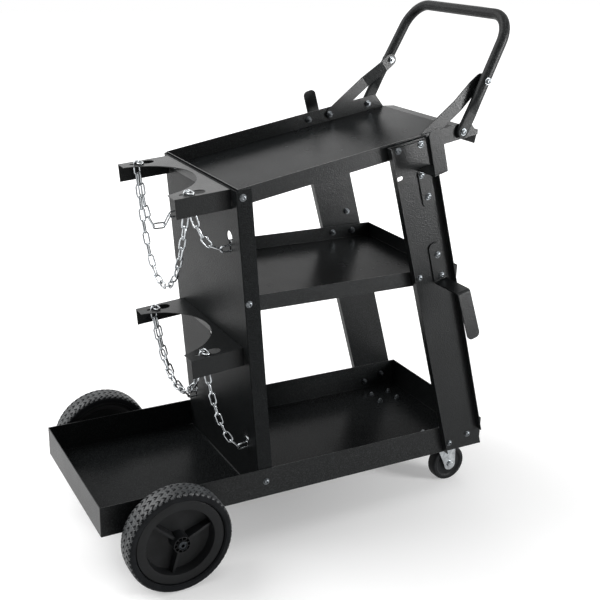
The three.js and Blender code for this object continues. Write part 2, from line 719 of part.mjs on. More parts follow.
// The bearing points of a hanging chain of equal links: each link's slope grows by one step.
function hangingPoints(from, to, count, reach) {
  const flat = new THREE.Vector3(to.x - from.x, to.y - from.y, 0);
  const run = flat.length();
  flat.normalize();
  const drop = to.z - from.z;
  const shape = (bow, tilt) => {
    const angles = Array.from({ length: count }, (_, i) => Math.atan(bow * (i - (count - 1) / 2) + tilt));
    const across = angles.reduce((sum, angle) => sum + Math.cos(angle), 0) * reach;
    const rise = angles.reduce((sum, angle) => sum + Math.sin(angle), 0) * reach;
    return { angles, across, rise };
  };
  const solve = (low, high, tooLow) => {
    for (let i = 0; i < 80; i += 1) {
      const middle = (low + high) / 2;
      if (tooLow(middle)) low = middle;
      else high = middle;
    }
    return (low + high) / 2;
  };
  const tooSteep = (bow, tilt) => shape(bow, tilt).rise * run < shape(bow, tilt).across * drop;
  const tiltFor = (bow) => solve(-60, 60, (tilt) => tooSteep(bow, tilt));
  const bow = solve(0, 40, (trial) => {
    const { across, rise } = shape(trial, tiltFor(trial));
    return Math.hypot(across, rise) > Math.hypot(run, drop);
  });
  const points = [from.clone()];
  for (const angle of shape(bow, tiltFor(bow)).angles) {
    const step = flat.clone().multiplyScalar(Math.cos(angle) * reach);
    step.z = Math.sin(angle) * reach;
    points.push(points.at(-1).clone().add(step));
  }
  return points;
}

const chainReach = LINK_PITCH + LINK_BITE;

// How many links span a distance with some slack. The count is odd, so both end links lie the same way.
function linkCount(from, to, slack) {
  const links = (from.distanceTo(to) * slack) / chainReach;
  return 2 * Math.ceil((links - 1) / 2) + 1;
}

// Links along bearing points, turned a quarter from one to the next. Each bites into the next a little.
function linkRun(points, planeNormal, edgeFirst) {
  return points.slice(1).map((to, i) => {
    const from = points[i];
    const along = to.clone().sub(from).normalize();
    const onEdge = (i % 2 === 0) === edgeFirst;
    const edgeNormal = new THREE.Vector3().crossVectors(along, planeNormal).normalize();
    return linkGeometry(from, to, onEdge ? edgeNormal : planeNormal);
  });
}

// Where a link that hangs through a slot bears, and the two links that hold it there.
function slotLinks(seat, inward, along, normal) {
  const keeperWire = seat.clone().addScaledVector(inward, -GAP - LINK_WIRE / 2);
  const bearing = keeperWire.clone().addScaledVector(inward, -LINK_WIRE / 2 + LINK_BITE);
  const end = bearing.clone().addScaledVector(inward, LINK_PITCH);
  const keeperCentre = keeperWire.clone().addScaledVector(along, (LINK_WIDTH - LINK_WIRE) / 2);
  const half = normal.clone().multiplyScalar(LINK_PITCH / 2);
  const keeper = linkGeometry(keeperCentre.clone().sub(half), keeperCentre.clone().add(half), inward);
  return { end, links: [linkGeometry(bearing, end, normal), keeper] };
}

// A side strand runs from an arm's slot to the panel's keyhole. The front loop hangs between the two arms.
function makeChain(name, bracketHeight, keyHeight, loopSlack, sideSlack) {
  const slotX = -GAP - ARM_KEY_SETBACK - ARM_SLOT_LENGTH + KEY_SLOT_WIDTH + LINK_WIDTH / 2;
  const bearRadius = LINK_WIDTH / 2 - LINK_WIRE;
  const slotFoot = alongPanel(keyHeight) - PANEL_SLOT_LENGTH - KEY_SLOT_WIDTH / 2;
  const holdUp = slotFoot + GAP + LINK_WIDTH / 2 + LINK_WIRE / 2;
  const down = panelUp.clone().negate();
  const forward = panelBack.clone().negate();
  const loopEnds = [];
  for (const [sideName, side] of [["left", -1], ["right", 1]]) {
    const y = side * keyY;
    const arm = slotLinks(panelPoint(slotX, y, alongPanel(bracketHeight)), down, panelBack, SIDEWAYS);
    const hold = slotLinks(panelPoint(SHEET, y, holdUp), forward, panelUp, SIDEWAYS);
    const start = arm.end.clone().add(new THREE.Vector3(0.9 * bearRadius, 0, 0.6 * bearRadius));
    const count = linkCount(start, hold.end, sideSlack[sideName]);
    const points = hangingPoints(start, hold.end, count, chainReach);
    const strand = linkRun(points, SIDEWAYS, true);
    add(`${name}_chain_${sideName}`, join(...arm.links, ...strand, ...hold.links), zinc);
    loopEnds.push(arm.end.clone().add(new THREE.Vector3(-LOOP_OFFSET, 0, -LINK_WIRE / 2)));
  }
  const loopLinks = linkCount(...loopEnds, loopSlack);
  const slack = hangingPoints(...loopEnds, loopLinks, chainReach);
  const outward = slack[0].clone().sub(slack[1]).setLength(LINK_WIRE / 2 + LOOP_PLAY);
  loopEnds[0].add(outward);
  loopEnds[1].add(outward.setY(-outward.y));
  const loopPoints = hangingPoints(...loopEnds, loopLinks, chainReach);
  add(`${name}_chain_loop`, join(...linkRun(loopPoints, LENGTHWISE, false)), zinc);
}

// Fixed wheels: a tyre with tread blocks on a moulded rim with three ribs.
const wheelZ = WHEEL_DIAMETER / 2;
const wheelInner = BASE_WIDTH / 2 + WHEEL_CLEARANCE;
const wheelOuter = wheelInner + TYRE_WIDTH;
const seatRadius = WHEEL_DIAMETER / 2 - TYRE_HEIGHT;
const axleBore = AXLE_DIAMETER / 2 + GAP;
const hubOuter = wheelOuter + HUB_STEP;

// Turns a profile of [radius, y] points about the wheel's axis.
function turned(points, sides) {
  const profile = points.map(([radius, y]) => new THREE.Vector2(radius, y));
  if (THREE.ShapeUtils.isClockWise(profile)) profile.reverse();
  profile.push(profile[0].clone());
  return new THREE.LatheGeometry(profile, sides);
}

// The tyre's section at one place round it. The tread on each side stands proud or is cut to its groove.
function tyreSection(turn, leftTread, rightTread) {
  const radius = WHEEL_DIAMETER / 2;
  const ground = (proud) => (proud ? radius : radius - TREAD_DEPTH);
  const crown = TYRE_WIDTH / 2 - TYRE_SHOULDER;
  const middle = (wheelInner + wheelOuter) / 2;
  const seat = (seatRadius + GAP) / Math.cos((Math.PI * (0.5 - TREAD_SLOPE)) / TREAD_BLOCKS);
  const section = [
    [seat, -crown],
    [radius - TYRE_SHOULDER, -TYRE_WIDTH / 2],
    [ground(leftTread), -crown],
    [radius, 0],
    [ground(rightTread), crown],
    [radius - TYRE_SHOULDER, TYRE_WIDTH / 2],
    [seat, crown],
  ];
  return section.map(
    ([r, y]) => new THREE.Vector3(r * Math.cos(turn), middle + y, r * Math.sin(turn)),
  );
}

function makeTyre(group) {
  const rings = [];
  for (let i = 0; i < TREAD_BLOCKS; i += 1) {
    const at = (share) => (2 * Math.PI * (i + share)) / TREAD_BLOCKS;
    rings.push(tyreSection(at(0), true, false));
    rings.push(tyreSection(at(0.5 - TREAD_SLOPE), true, false));
    rings.push(tyreSection(at(0.5), false, true));
    rings.push(tyreSection(at(1 - TREAD_SLOPE), false, true));
  }
  addPair("tyre", skin(rings, true), rubber, group);
}

function makeRim(group) {
  const rimInner = seatRadius - RIM_LIP;
  const face = wheelOuter - TYRE_SHOULDER;
  const webOut = face - RIM_DISH;
  const hub = HUB_DIAMETER / 2;
  const body = turned(
    [
      [axleBore, wheelInner],
      [hub, wheelInner],
      [hub, webOut - RIM_WEB],
      [rimInner, webOut - RIM_WEB],
      [seatRadius - RIM_WALL, wheelInner + TYRE_SHOULDER],
      [seatRadius, wheelInner + TYRE_SHOULDER],
      [seatRadius, face],
      [rimInner, face],
      [rimInner - RIM_WALL / 2, webOut],
      [hub, webOut],
      [hub, hubOuter],
      [axleBore, hubOuter],
    ],
    20,
  );
  const ribShape = outline([
    [hub - 1, webOut - 1],
    [rimInner - 1, webOut - 1],
    [rimInner - 1, webOut + RIM_DISH / 2],
    [hub - 1, face],
  ]);
  const ribs = Array.from({ length: RIM_RIBS }, (_, i) => {
    const rib = extrude(ribShape, RIM_RIB_WIDTH).translate(0, 0, -RIM_RIB_WIDTH / 2);
    return rib.rotateY(-rad(RIM_RIB_TURN) - (2 * Math.PI * i) / RIM_RIBS);
  });
  addPair("rim", join(body, ...ribs), plastic, group);
}

function makeWheels() {
  const group = leaningGroup(WHEEL_X, wheelZ, 0);
  makeTyre(group);
  makeRim(group);
  const end = hubOuter + CAP_LENGTH - SHEET;
  add("axle", barY(AXLE_DIAMETER, 0, 0, -end, end), steel, group);
  const spacer = barY(AXLE_DIAMETER + 2 * SPACER_WALL, 0, 0, BASE_WIDTH / 2 + GAP, wheelInner - GAP);
  const spacerBore = barY(2 * axleBore, 0, 0, 0, wheelOuter);
  addPair("axle_spacer", cut(spacer, spacerBore), steel, group);
  const cap = barY(CAP_DIAMETER, 0, 0, hubOuter + GAP, hubOuter + CAP_LENGTH);
  const capBore = barY(2 * axleBore, 0, 0, hubOuter, end + GAP);
  addPair("axle_cap", cut(cap, capBore), steel, group);
  const inner = axleBore;
  const outer = axleBore + SADDLE_STRIP;
  const top = BASE_HEIGHT - wheelZ;
  const saddle = new THREE.Shape();
  saddle.moveTo(-inner, top);
  saddle.lineTo(-inner, 0);
  saddle.absarc(0, 0, inner, Math.PI, 2 * Math.PI, false);
  saddle.lineTo(inner, top);
  saddle.lineTo(outer + SADDLE_FOOT, top);
  saddle.lineTo(outer + SADDLE_FOOT, top - SADDLE_STRIP);
  saddle.lineTo(outer, top - SADDLE_STRIP);
  saddle.lineTo(outer, 0);
  saddle.absarc(0, 0, outer, 0, Math.PI, true);
  saddle.lineTo(-outer, top - SADDLE_STRIP);
  saddle.lineTo(-outer - SADDLE_FOOT, top - SADDLE_STRIP);
  saddle.lineTo(-outer - SADDLE_FOOT, top);
  const strap = extrudeAcross(saddle, BASE_WIDTH / 2 - SADDLE_INSET, SADDLE_WIDTH - GAP, 5);
  addPair("axle_saddle", strap, paint, group);
}

// Swivel casters: a plate with a rivet, a fork that turns under it, and a wheel on a bolt.
function makeCasters() {
  const y = CASTER_SPREAD / 2;
  const group = leaningGroup(CASTER_X, 0, 0);
  const radius = CASTER_WHEEL_DIAMETER / 2;
  const plateLow = BASE_HEIGHT - CASTER_PLATE_THICKNESS;
  const crownLow = CASTER_WHEEL_DIAMETER + CASTER_TOP_CLEARANCE + CASTER_HEAD_THICKNESS + GAP;
  const crownHigh = crownLow + CASTER_CROWN_THICKNESS;
  const plate = block(
    -CASTER_PLATE_LENGTH / 2,
    CASTER_PLATE_LENGTH / 2,
    y - CASTER_PLATE_WIDTH / 2,
    y + CASTER_PLATE_WIDTH / 2,
    plateLow,
    BASE_HEIGHT,
  );
  const race = barZ(CASTER_RACE_DIAMETER, 0, y, crownHigh + GAP, plateLow + SHEET);
  const pin = barZ(CASTER_PIN_DIAMETER, 0, y, crownLow - GAP - CASTER_HEAD_THICKNESS, plateLow);
  const head = barZ(CASTER_PIN_HEAD, 0, y, crownLow - GAP - CASTER_HEAD_THICKNESS, crownLow - GAP);
  addPair("caster_plate", join(plate, race, pin, head), zinc, group);

  const armIn = CASTER_WHEEL_WIDTH / 2 + CASTER_SIDE_CLEARANCE;
  const armOut = armIn + CASTER_FORK_SHEET;
  const crown = barZ(CASTER_RACE_DIAMETER, 0, y, crownLow, crownHigh);
  const end = CASTER_FORK_END / 2;
  const reach = CASTER_RACE_DIAMETER / 2 - CASTER_FORK_SHEET;
  const arm = new THREE.Shape();
  arm.moveTo(-reach / 2, crownHigh);
  arm.lineTo(CASTER_TRAIL - end, radius);
  arm.absarc(CASTER_TRAIL, radius, end, Math.PI, 2 * Math.PI, false);
  arm.lineTo(CASTER_FORK_BACK, crownHigh);
  const arms = [y - armOut, y + armIn].map((start) => extrudeAcross(arm, start, CASTER_FORK_SHEET, 5));
  const bore = barZ(CASTER_PIN_DIAMETER + 2 * GAP, 0, y, 0, BASE_HEIGHT);
  const boltBore = barY(CASTER_AXLE_DIAMETER + 2 * GAP, CASTER_TRAIL, radius, 0, 2 * y);
  addPair("caster_fork", cut(join(crown, ...arms), bore, boltBore), zinc, group);

  const wheel = makeCasterWheel(radius, CASTER_WHEEL_WIDTH / 2);
  addPair("caster_wheel", wheel.translate(CASTER_TRAIL, y, radius), rubber, group);

  const bolt = barY(CASTER_AXLE_DIAMETER, CASTER_TRAIL, radius, y - armOut - GAP, y + armOut + GAP);
  const ends = [
    [y - armOut - GAP - CASTER_BOLT_HEIGHT, y - armOut - GAP],
    [y + armOut + GAP, y + armOut + GAP + CASTER_BOLT_HEIGHT],
  ];
  const heads = ends.map(([from, to]) => barY(CASTER_BOLT_HEAD, CASTER_TRAIL, radius, from, to, 6));
  addPair("caster_axle", join(bolt, ...heads), zinc, group);
}

function makeCasterWheel(radius, half) {
  const bore = CASTER_AXLE_DIAMETER / 2 + GAP;
  const hub = CASTER_FORK_END / 2;
  const recess = half / 3;
  const tread = radius - half / 2;
  return turned(
    [
      [bore, -half],
      [hub, -half],
      [hub, -half + recess],
      [tread - recess, -half + recess],
      [tread, -half],
      [radius, -half / 2],
      [radius, half / 2],
      [tread, half],
      [tread - recess, half - recess],
      [hub, half - recess],
      [hub, half],
      [bore, half],
    ],
    14,
  );
}

makeBaseTray();
makeFrontPanel();
makeMiddleTray();
makeTopTray();
makeRearPosts();
makeBottleBracket("upper_bottle_bracket", UPPER_BRACKET_HEIGHT);
makeBottleBracket("lower_bottle_bracket", LOWER_BRACKET_HEIGHT);
makeHandle();
makeBraces();
makeHooks();
makeChain("upper", UPPER_BRACKET_HEIGHT, UPPER_KEY_HEIGHT, UPPER_LOOP_SLACK, {
  left: UPPER_LEFT_SLACK,
  right: UPPER_RIGHT_SLACK,
});
makeChain("lower", LOWER_BRACKET_HEIGHT, LOWER_KEY_HEIGHT, LOWER_LOOP_SLACK, {
  left: LOWER_SIDE_SLACK,
  right: LOWER_SIDE_SLACK,
});
makeWheels();
makeCasters();

// The origin is on the ground, under the middle of the cart.
const bounds = new THREE.Box3().setFromObject(cart, true);
cart.position.x = -(bounds.min.x + bounds.max.x) / 2;

const root = new THREE.Group();
root.add(cart);

export default root;
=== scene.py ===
"""A welding cart's visible pieces, built round its CAD frame, and the stage for its picture."""

import json
import math

import bmesh
import bpy
from mathutils import Matrix, Vector


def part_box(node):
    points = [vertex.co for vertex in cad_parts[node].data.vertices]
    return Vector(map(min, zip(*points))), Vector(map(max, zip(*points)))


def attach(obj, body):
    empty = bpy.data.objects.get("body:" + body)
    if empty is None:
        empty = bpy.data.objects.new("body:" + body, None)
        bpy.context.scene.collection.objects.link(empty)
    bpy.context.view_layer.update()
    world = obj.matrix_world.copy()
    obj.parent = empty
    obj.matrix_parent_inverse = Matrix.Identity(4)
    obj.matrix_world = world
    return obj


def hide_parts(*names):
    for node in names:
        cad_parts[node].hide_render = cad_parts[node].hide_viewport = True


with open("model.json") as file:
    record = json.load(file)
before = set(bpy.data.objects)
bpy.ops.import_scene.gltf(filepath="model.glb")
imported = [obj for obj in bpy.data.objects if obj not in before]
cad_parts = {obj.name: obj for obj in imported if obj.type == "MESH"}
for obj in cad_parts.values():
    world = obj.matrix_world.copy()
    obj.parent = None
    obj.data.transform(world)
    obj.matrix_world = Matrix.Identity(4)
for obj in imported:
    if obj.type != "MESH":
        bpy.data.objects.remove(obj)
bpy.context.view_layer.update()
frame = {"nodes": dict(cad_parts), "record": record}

bl_info = {
    "name": "Welding Cart",
    "version": (1, 0, 0),
    "blender": (4, 5, 0),
    "location": "View3D > Sidebar > Welding Cart",
    "description": "Builds a welding cart's pieces round its CAD frame and stages it for a picture",
    "category": "Add Mesh",
}

MM = 0.001
TAU = 2 * math.pi
SIDES = {"left": -1, "right": 1}

# Places are in millimetres, with x from the base tray's bottle end, as the sheet metal is drawn.
TRAY_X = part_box("base_tray")[0].x
SHEET = 1.5
GAP = 0.3
BASE_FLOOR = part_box("base_tray")[0].z / MM + SHEET
BASE_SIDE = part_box("base_tray")[1].y / MM
PANEL_SIDE = BASE_SIDE - SHEET - GAP
TRAY_SIDE = PANEL_SIDE - SHEET - GAP
POST_WEB = BASE_SIDE + GAP + SHEET
HOOK_FACE = POST_WEB + GAP + 2.5
PANEL_FOOT_X = 314
PANEL_FOOT_Z = BASE_FLOOR + 2.5
PANEL_LEAN = math.radians(5)
PANEL_BACK = Vector((math.cos(PANEL_LEAN), 0, math.sin(PANEL_LEAN)))
PANEL_UP = Vector((-math.sin(PANEL_LEAN), 0, math.cos(PANEL_LEAN)))
TOP_TILT = math.radians(10.4)
TOP_FRONT_Z = 686
TOP_DEPTH = 30
POST_FOOT = Vector((741, 0, 108))
POST_LEAN = math.radians(15.5)
HANDLE_LEAN = math.radians(26.6)
HANDLE_DRAW = math.radians(3.3)
HANDLE_FOOT_ALONG = 462.5
WHEEL_PLACE = Vector((126, 0, 100))
CASTER_X = 769
CASTER_Y = 106
CASTER_TRAIL = 29
CASTER_RADIUS = 41
CASTER_ROUND = 39.95  # the turned wheel stays inside the CAD wheel's flats


def along_panel(height):
    return (height - PANEL_FOOT_Z) / math.cos(PANEL_LEAN)


def panel_point(behind, y, along):
    """A point from the distance behind the panel's front, to the side and up along the panel."""
    return Vector((PANEL_FOOT_X, y, PANEL_FOOT_Z)) + behind * PANEL_BACK + along * PANEL_UP


def panel_back_x(height):
    slope = (height - PANEL_FOOT_Z) * math.tan(PANEL_LEAN)
    return PANEL_FOOT_X - slope + SHEET / math.cos(PANEL_LEAN)


TOP_FRONT_X = panel_back_x(TOP_FRONT_Z) + GAP + TOP_DEPTH * math.sin(TOP_TILT)


def top_tray_point(along, up, y=0.0):
    """A point of the tilted top tray, along its floor and above its underside."""
    x = TOP_FRONT_X + along * math.cos(TOP_TILT) - up * math.sin(TOP_TILT)
    z = TOP_FRONT_Z + along * math.sin(TOP_TILT) + up * math.cos(TOP_TILT)
    return Vector((x, y, z))


def post_point(across, up, y):
    """A point of a leaning rear post, across it and up along it from its foot."""
    x = POST_FOOT.x + across * math.cos(POST_LEAN) - up * math.sin(POST_LEAN)
    z = POST_FOOT.z + across * math.sin(POST_LEAN) + up * math.cos(POST_LEAN)
    return Vector((x, y, z))


def to_frame(point):
    """Millimetres on the cart to the frame's metres."""
    return Vector((point[0] * MM + TRAY_X, point[1] * MM, point[2] * MM))


# Colours and materials


def linear(hex_colour):
    """An sRGB hex colour as linear red, green, blue and alpha."""
    channels = [int(hex_colour[i : i + 2], 16) / 255 for i in (1, 3, 5)]
    curve = [c / 12.92 if c <= 0.04045 else ((c + 0.055) / 1.055) ** 2.4 for c in channels]
    return (*curve, 1.0)


def add_node(tree, kind, settings=None, links=None):
    """Adds a node, sets its values and links its inputs."""
    made = tree.nodes.new("ShaderNode" + kind)
    for key, value in (settings or {}).items():
        if isinstance(key, str) and hasattr(made, key):
            setattr(made, key, value)
        else:
            made.inputs[key].default_value = value
    for key, socket in (links or {}).items():
        tree.links.new(socket, made.inputs[key])
    return made


def new_material(name):
    material = bpy.data.materials.new(name)
    material.use_nodes = True
    material.node_tree.nodes.clear()
    return material, material.node_tree


def finish_material(material, tree, settings, links):
    shader = add_node(tree, "BsdfPrincipled", settings, links)
    add_node(tree, "OutputMaterial", links={"Surface": shader.outputs["BSDF"]})
    return material


def per_metre(millimetres):
    """The texture scale at which one cell is this many millimetres wide."""
    return 1 / (millimetres * MM)


def painted_steel(name, colour, grain, bump, roughness, shine):
    """Black polyester powder coat, baked on steel: the cured powder flows into a fine hammered grain
    that breaks the highlights into specks. The real grain is about 1 mm; it is drawn at 2 to 3 mm."""
    material, tree = new_material(name)
    place = add_node(tree, "TexCoord").outputs["Object"]
    cells = add_node(
        tree,
        "TexVoronoi",
        {"feature": "SMOOTH_F1", "Scale": per_metre(grain), "Smoothness": 0.6},
        {"Vector": place},
    )
    fine = add_node(
        tree,
        "TexNoise",
        {"Scale": per_metre(grain / 2), "Detail": 2.0, "Roughness": 0.6},
        {"Vector": place},
    )
    height = add_node(
        tree,
        "Mix",
        {"data_type": "FLOAT", "Factor": 0.4},
        {"A": cells.outputs["Distance"], "B": fine.outputs["Fac"]},
    )
    relief = add_node(
        tree,
        "Bump",
        {"Strength": bump, "Distance": 0.6 * MM},
        {"Height": height.outputs[0]},
    )
    clouds = add_node(
        tree,
        "TexNoise",
        {"Scale": per_metre(70), "Detail": 3.0},
        {"Vector": place},
    )
    gloss = add_node(
        tree,
        "MapRange",
        {"To Min": roughness - 0.06, "To Max": roughness + 0.06},
        {"Value": clouds.outputs["Fac"]},
    )
    specks = add_node(
        tree,
        "MapRange",
        {"From Min": 0.5, "From Max": 0.7, "To Max": 0.8},
        {"Value": fine.outputs["Fac"]},
    )
    tint = add_node(
        tree,
        "Mix",
        {"data_type": "RGBA", "A": tuple(colour), "B": linear("#343737")},
        {"Factor": specks.outputs["Result"]},
    )
    return finish_material(
        material,
        tree,
        {"IOR": 1.45, "Specular IOR Level": shine},
        {
            "Base Color": tint.outputs["Result"],
            "Roughness": gloss.outputs["Result"],
            "Normal": relief.outputs["Normal"],
        },
    )


def plated_steel(name, colour, roughness, streak):
    """Bright zinc, electroplated and passivated: cool silver with faint clouding in its shine."""
    material, tree = new_material(name)
    place = add_node(tree, "TexCoord").outputs["Object"]
    clouds = add_node(
        tree,
        "TexNoise",
        {"Scale": per_metre(streak), "Detail": 4.0, "Roughness": 0.6},
        {"Vector": place},
    )
    tint = add_node(
        tree,
        "ValToRGB",
        links={"Fac": clouds.outputs["Fac"]},
    )
    tint.color_ramp.elements[0].position = 0.3
    tint.color_ramp.elements[1].position = 0.7
    tint.color_ramp.elements[0].color = (*(0.45 * c for c in colour[:3]), 1.0)
    tint.color_ramp.elements[1].color = colour
    gloss = add_node(
        tree,
        "MapRange",
        {"To Min": roughness - 0.08, "To Max": roughness + 0.1},
        {"Value": clouds.outputs["Fac"]},
    )
    return finish_material(
        material,
        tree,
        {"Metallic": 1.0},
        {"Base Color": tint.outputs["Color"], "Roughness": gloss.outputs["Result"]},
    )


def moulded(name, colour, dust_and_sheen, grain, bump, roughness, shine):
    """Rubber or plastic out of a steel mould: even colour with a dull skin and a fine eroded grain.
    Handling and dust leave it a little paler in patches. On the tread this paler colour also stands in for
    the lamps' sheen, as painted light."""
    material, tree = new_material(name)
    place = add_node(tree, "TexCoord").outputs["Object"]
    grit = add_node(
        tree,
        "TexNoise",
        {"Scale": per_metre(grain), "Detail": 3.0, "Roughness": 0.65},
        {"Vector": place},
    )
    patches = add_node(
        tree,
        "TexNoise",
        {"Scale": per_metre(35), "Detail": 4.0, "Roughness": 0.7},
        {"Vector": place},
    )
    dust = add_node(
        tree,
        "MapRange",
        {"From Min": 0.4, "From Max": 0.75, "To Max": 0.5},
        {"Value": patches.outputs["Fac"]},
    )
    tint = add_node(
        tree,
        "Mix",
        {"data_type": "RGBA", "A": tuple(colour), "B": linear(dust_and_sheen)},
        {"Factor": dust.outputs["Result"]},
    )
    relief = add_node(
        tree,
        "Bump",
        {"Strength": bump, "Distance": 0.3 * MM},
        {"Height": grit.outputs["Fac"]},
    )
    gloss = add_node(
        tree,
        "MapRange",
        {"To Min": roughness - 0.08, "To Max": roughness + 0.08},
        {"Value": grit.outputs["Fac"]},
    )
    return finish_material(
        material,
        tree,
        {"IOR": 1.5, "Specular IOR Level": shine},
        {
            "Base Color": tint.outputs["Result"],
            "Roughness": gloss.outputs["Result"],
            "Normal": relief.outputs["Normal"],
        },
    )


FINISHES = {}


def finishes():
    """The cart's materials, made once."""
    if not FINISHES:
        colours = bpy.context.scene.cart_colours
        FINISHES["paint"] = painted_steel("hammered_powder_coat", colours.paint, 2.6, 0.55, 0.32, 0.2)
        FINISHES["shelf"] = painted_steel("satin_powder_coat", colours.paint, 2.6, 0.2, 0.26, 0.03)
        FINISHES["panel"] = painted_steel("matt_powder_coat", colours.paint, 2.6, 0.8, 0.34, 0.05)
        FINISHES["gloss"] = painted_steel("gloss_powder_coat", colours.paint, 5.0, 0.15, 0.42, 0.15)
        FINISHES["zinc"] = plated_steel("bright_zinc_plate", colours.zinc, 0.24, 9)
        # The bolts get a darker copy of the zinc. This is painted shade that stands in for the dark
        # surroundings their heads reflect.
        FINISHES["bolt"] = plated_steel("zinc_on_bolts_with_painted_shade", colours.bolt, 0.28, 3)
        FINISHES["steel"] = plated_steel("turned_steel", colours.steel, 0.34, 4)
        FINISHES["dark"] = plated_steel("black_oxide_steel", linear("#3c3f42"), 0.3, 4)
        FINISHES["tyre"] = moulded(
            "moulded_tyre_rubber", colours.rubber, "#212325", 2.4, 0.35, 0.6, 0.08
        )
        # The tread rubber is paler than the tyre's rubber. This is partly dust and wear, and partly painted
        # light that stands in for the lamps' sheen on the tread.
        FINISHES["tread"] = moulded(
            "tread_rubber_wear_and_painted_light", linear("#202224"), "#5f6263", 1.8, 0.3, 0.46, 0.5
        )
        FINISHES["caster"] = moulded(
            "moulded_caster_rubber", colours.rubber, "#1e2022", 2.0, 0.25, 0.5, 0.14
        )
        FINISHES["plastic"] = moulded(
            "moulded_polypropylene", colours.plastic, "#191b1d", 2.6, 0.25, 0.48, 0.18
        )
    return FINISHES


# Meshes


def skin(bm, rings, looped=True, closed=True, capped=False):
    """Faces over rings of points, which may run round in a loop or end in flat caps."""
    rows = [[bm.verts.new(point) for point in ring] for ring in rings]
    count = len(rows[0])
    for i in range(len(rows) if looped else len(rows) - 1):
        near, far = rows[i], rows[(i + 1) % len(rows)]
        for j in range(count if closed else count - 1):
            k = (j + 1) % count
            bm.faces.new((near[j], near[k], far[k], far[j]))
    if capped:
        bm.faces.new(list(reversed(rows[0])))
        bm.faces.new(rows[-1])


def place_at(origin, axis, roll=0.0):
    """A matrix that puts a piece's own z axis along the given axis at the origin."""
    turn = Vector(axis).normalized().to_track_quat("Z", "X").to_matrix().to_4x4()
    return Matrix.Translation(origin) @ turn @ Matrix.Rotation(roll, 4, "Z")


def hexed(radius, angle):
    """The distance from a hexagon's middle to its edge, at an angle."""
    return radius / math.cos((angle + math.pi / 6) % (math.pi / 3) - math.pi / 6)


def turn_profile(bm, profile, place, segments=48):
    """A turned solid about z, from points of (radius, height), or (radius, height, True) on a hexagon."""
    rings = []
    for i in range(segments):
        angle = TAU * i / segments
        ring = []
        for radius, height, *flats in profile:
            reach = hexed(radius, angle) if flats else radius
            ring.append(place @ Vector((reach * math.cos(angle), reach * math.sin(angle), height)))
        rings.append(ring)
    skin(bm, rings)


def rounded(profile, radius, steps=3):
    """A closed outline of (across, up) points with its corners rounded off."""
    corners = [Vector(point) for point in profile]
    result = []
    for i, corner in enumerate(corners):
        before = corners[i - 1] - corner
        after = corners[(i + 1) % len(corners)] - corner
        reach = min(radius, before.length * 0.45, after.length * 0.45)
        start = corner + before.normalized() * reach
        end = corner + after.normalized() * reach
        for j in range(steps + 1):
            t = j / steps
            result.append(start * (1 - t) ** 2 + corner * 2 * t * (1 - t) + end * t * t)
    return [tuple(point) for point in result]


def block(bm, low, high, place=Matrix.Identity(4), edge=0.8):
    """A block with rounded edges between two corners."""
    low, high = Vector(low), Vector(high)
    size = high - low
    middle = (low + high) / 2
    shape = Matrix.Translation(middle) @ Matrix.Diagonal((*size, 1))
    made = bmesh.ops.create_cube(bm, size=1, matrix=place @ shape)["verts"]
    edges = {e for vert in made for e in vert.link_edges}
    bmesh.ops.bevel(bm, geom=list(edges), offset=edge, segments=2, profile=0.7, affect="EDGES")


def make_piece(name, bm, finish, body="cart", nodes=()):
    """Turns a mesh in millimetres into a piece of the frame that rides on a body."""
    bmesh.ops.remove_doubles(bm, verts=bm.verts, dist=0.002)
    bmesh.ops.dissolve_degenerate(bm, edges=bm.edges, dist=0.001)
    bmesh.ops.recalc_face_normals(bm, faces=bm.faces)
    for vert in bm.verts:
        vert.co = to_frame(vert.co)
    mesh = bpy.data.meshes.new(name)
    bm.to_mesh(mesh)
    bm.free()
    mesh.shade_smooth()
    mesh.set_sharp_from_angle(angle=math.radians(38))
    mesh.materials.append(finishes()[finish])
    piece = bpy.data.objects.new(name, mesh)
    bpy.context.scene.collection.objects.link(piece)
    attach(piece, body)
    if nodes:
        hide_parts(*nodes)
    return piece


def body_of(node):
    """The name of the body that a node belongs to."""
    groups = frame["record"]["behaviour"]["bodies"]
    return next(body for body, members in groups.items() if node in members)


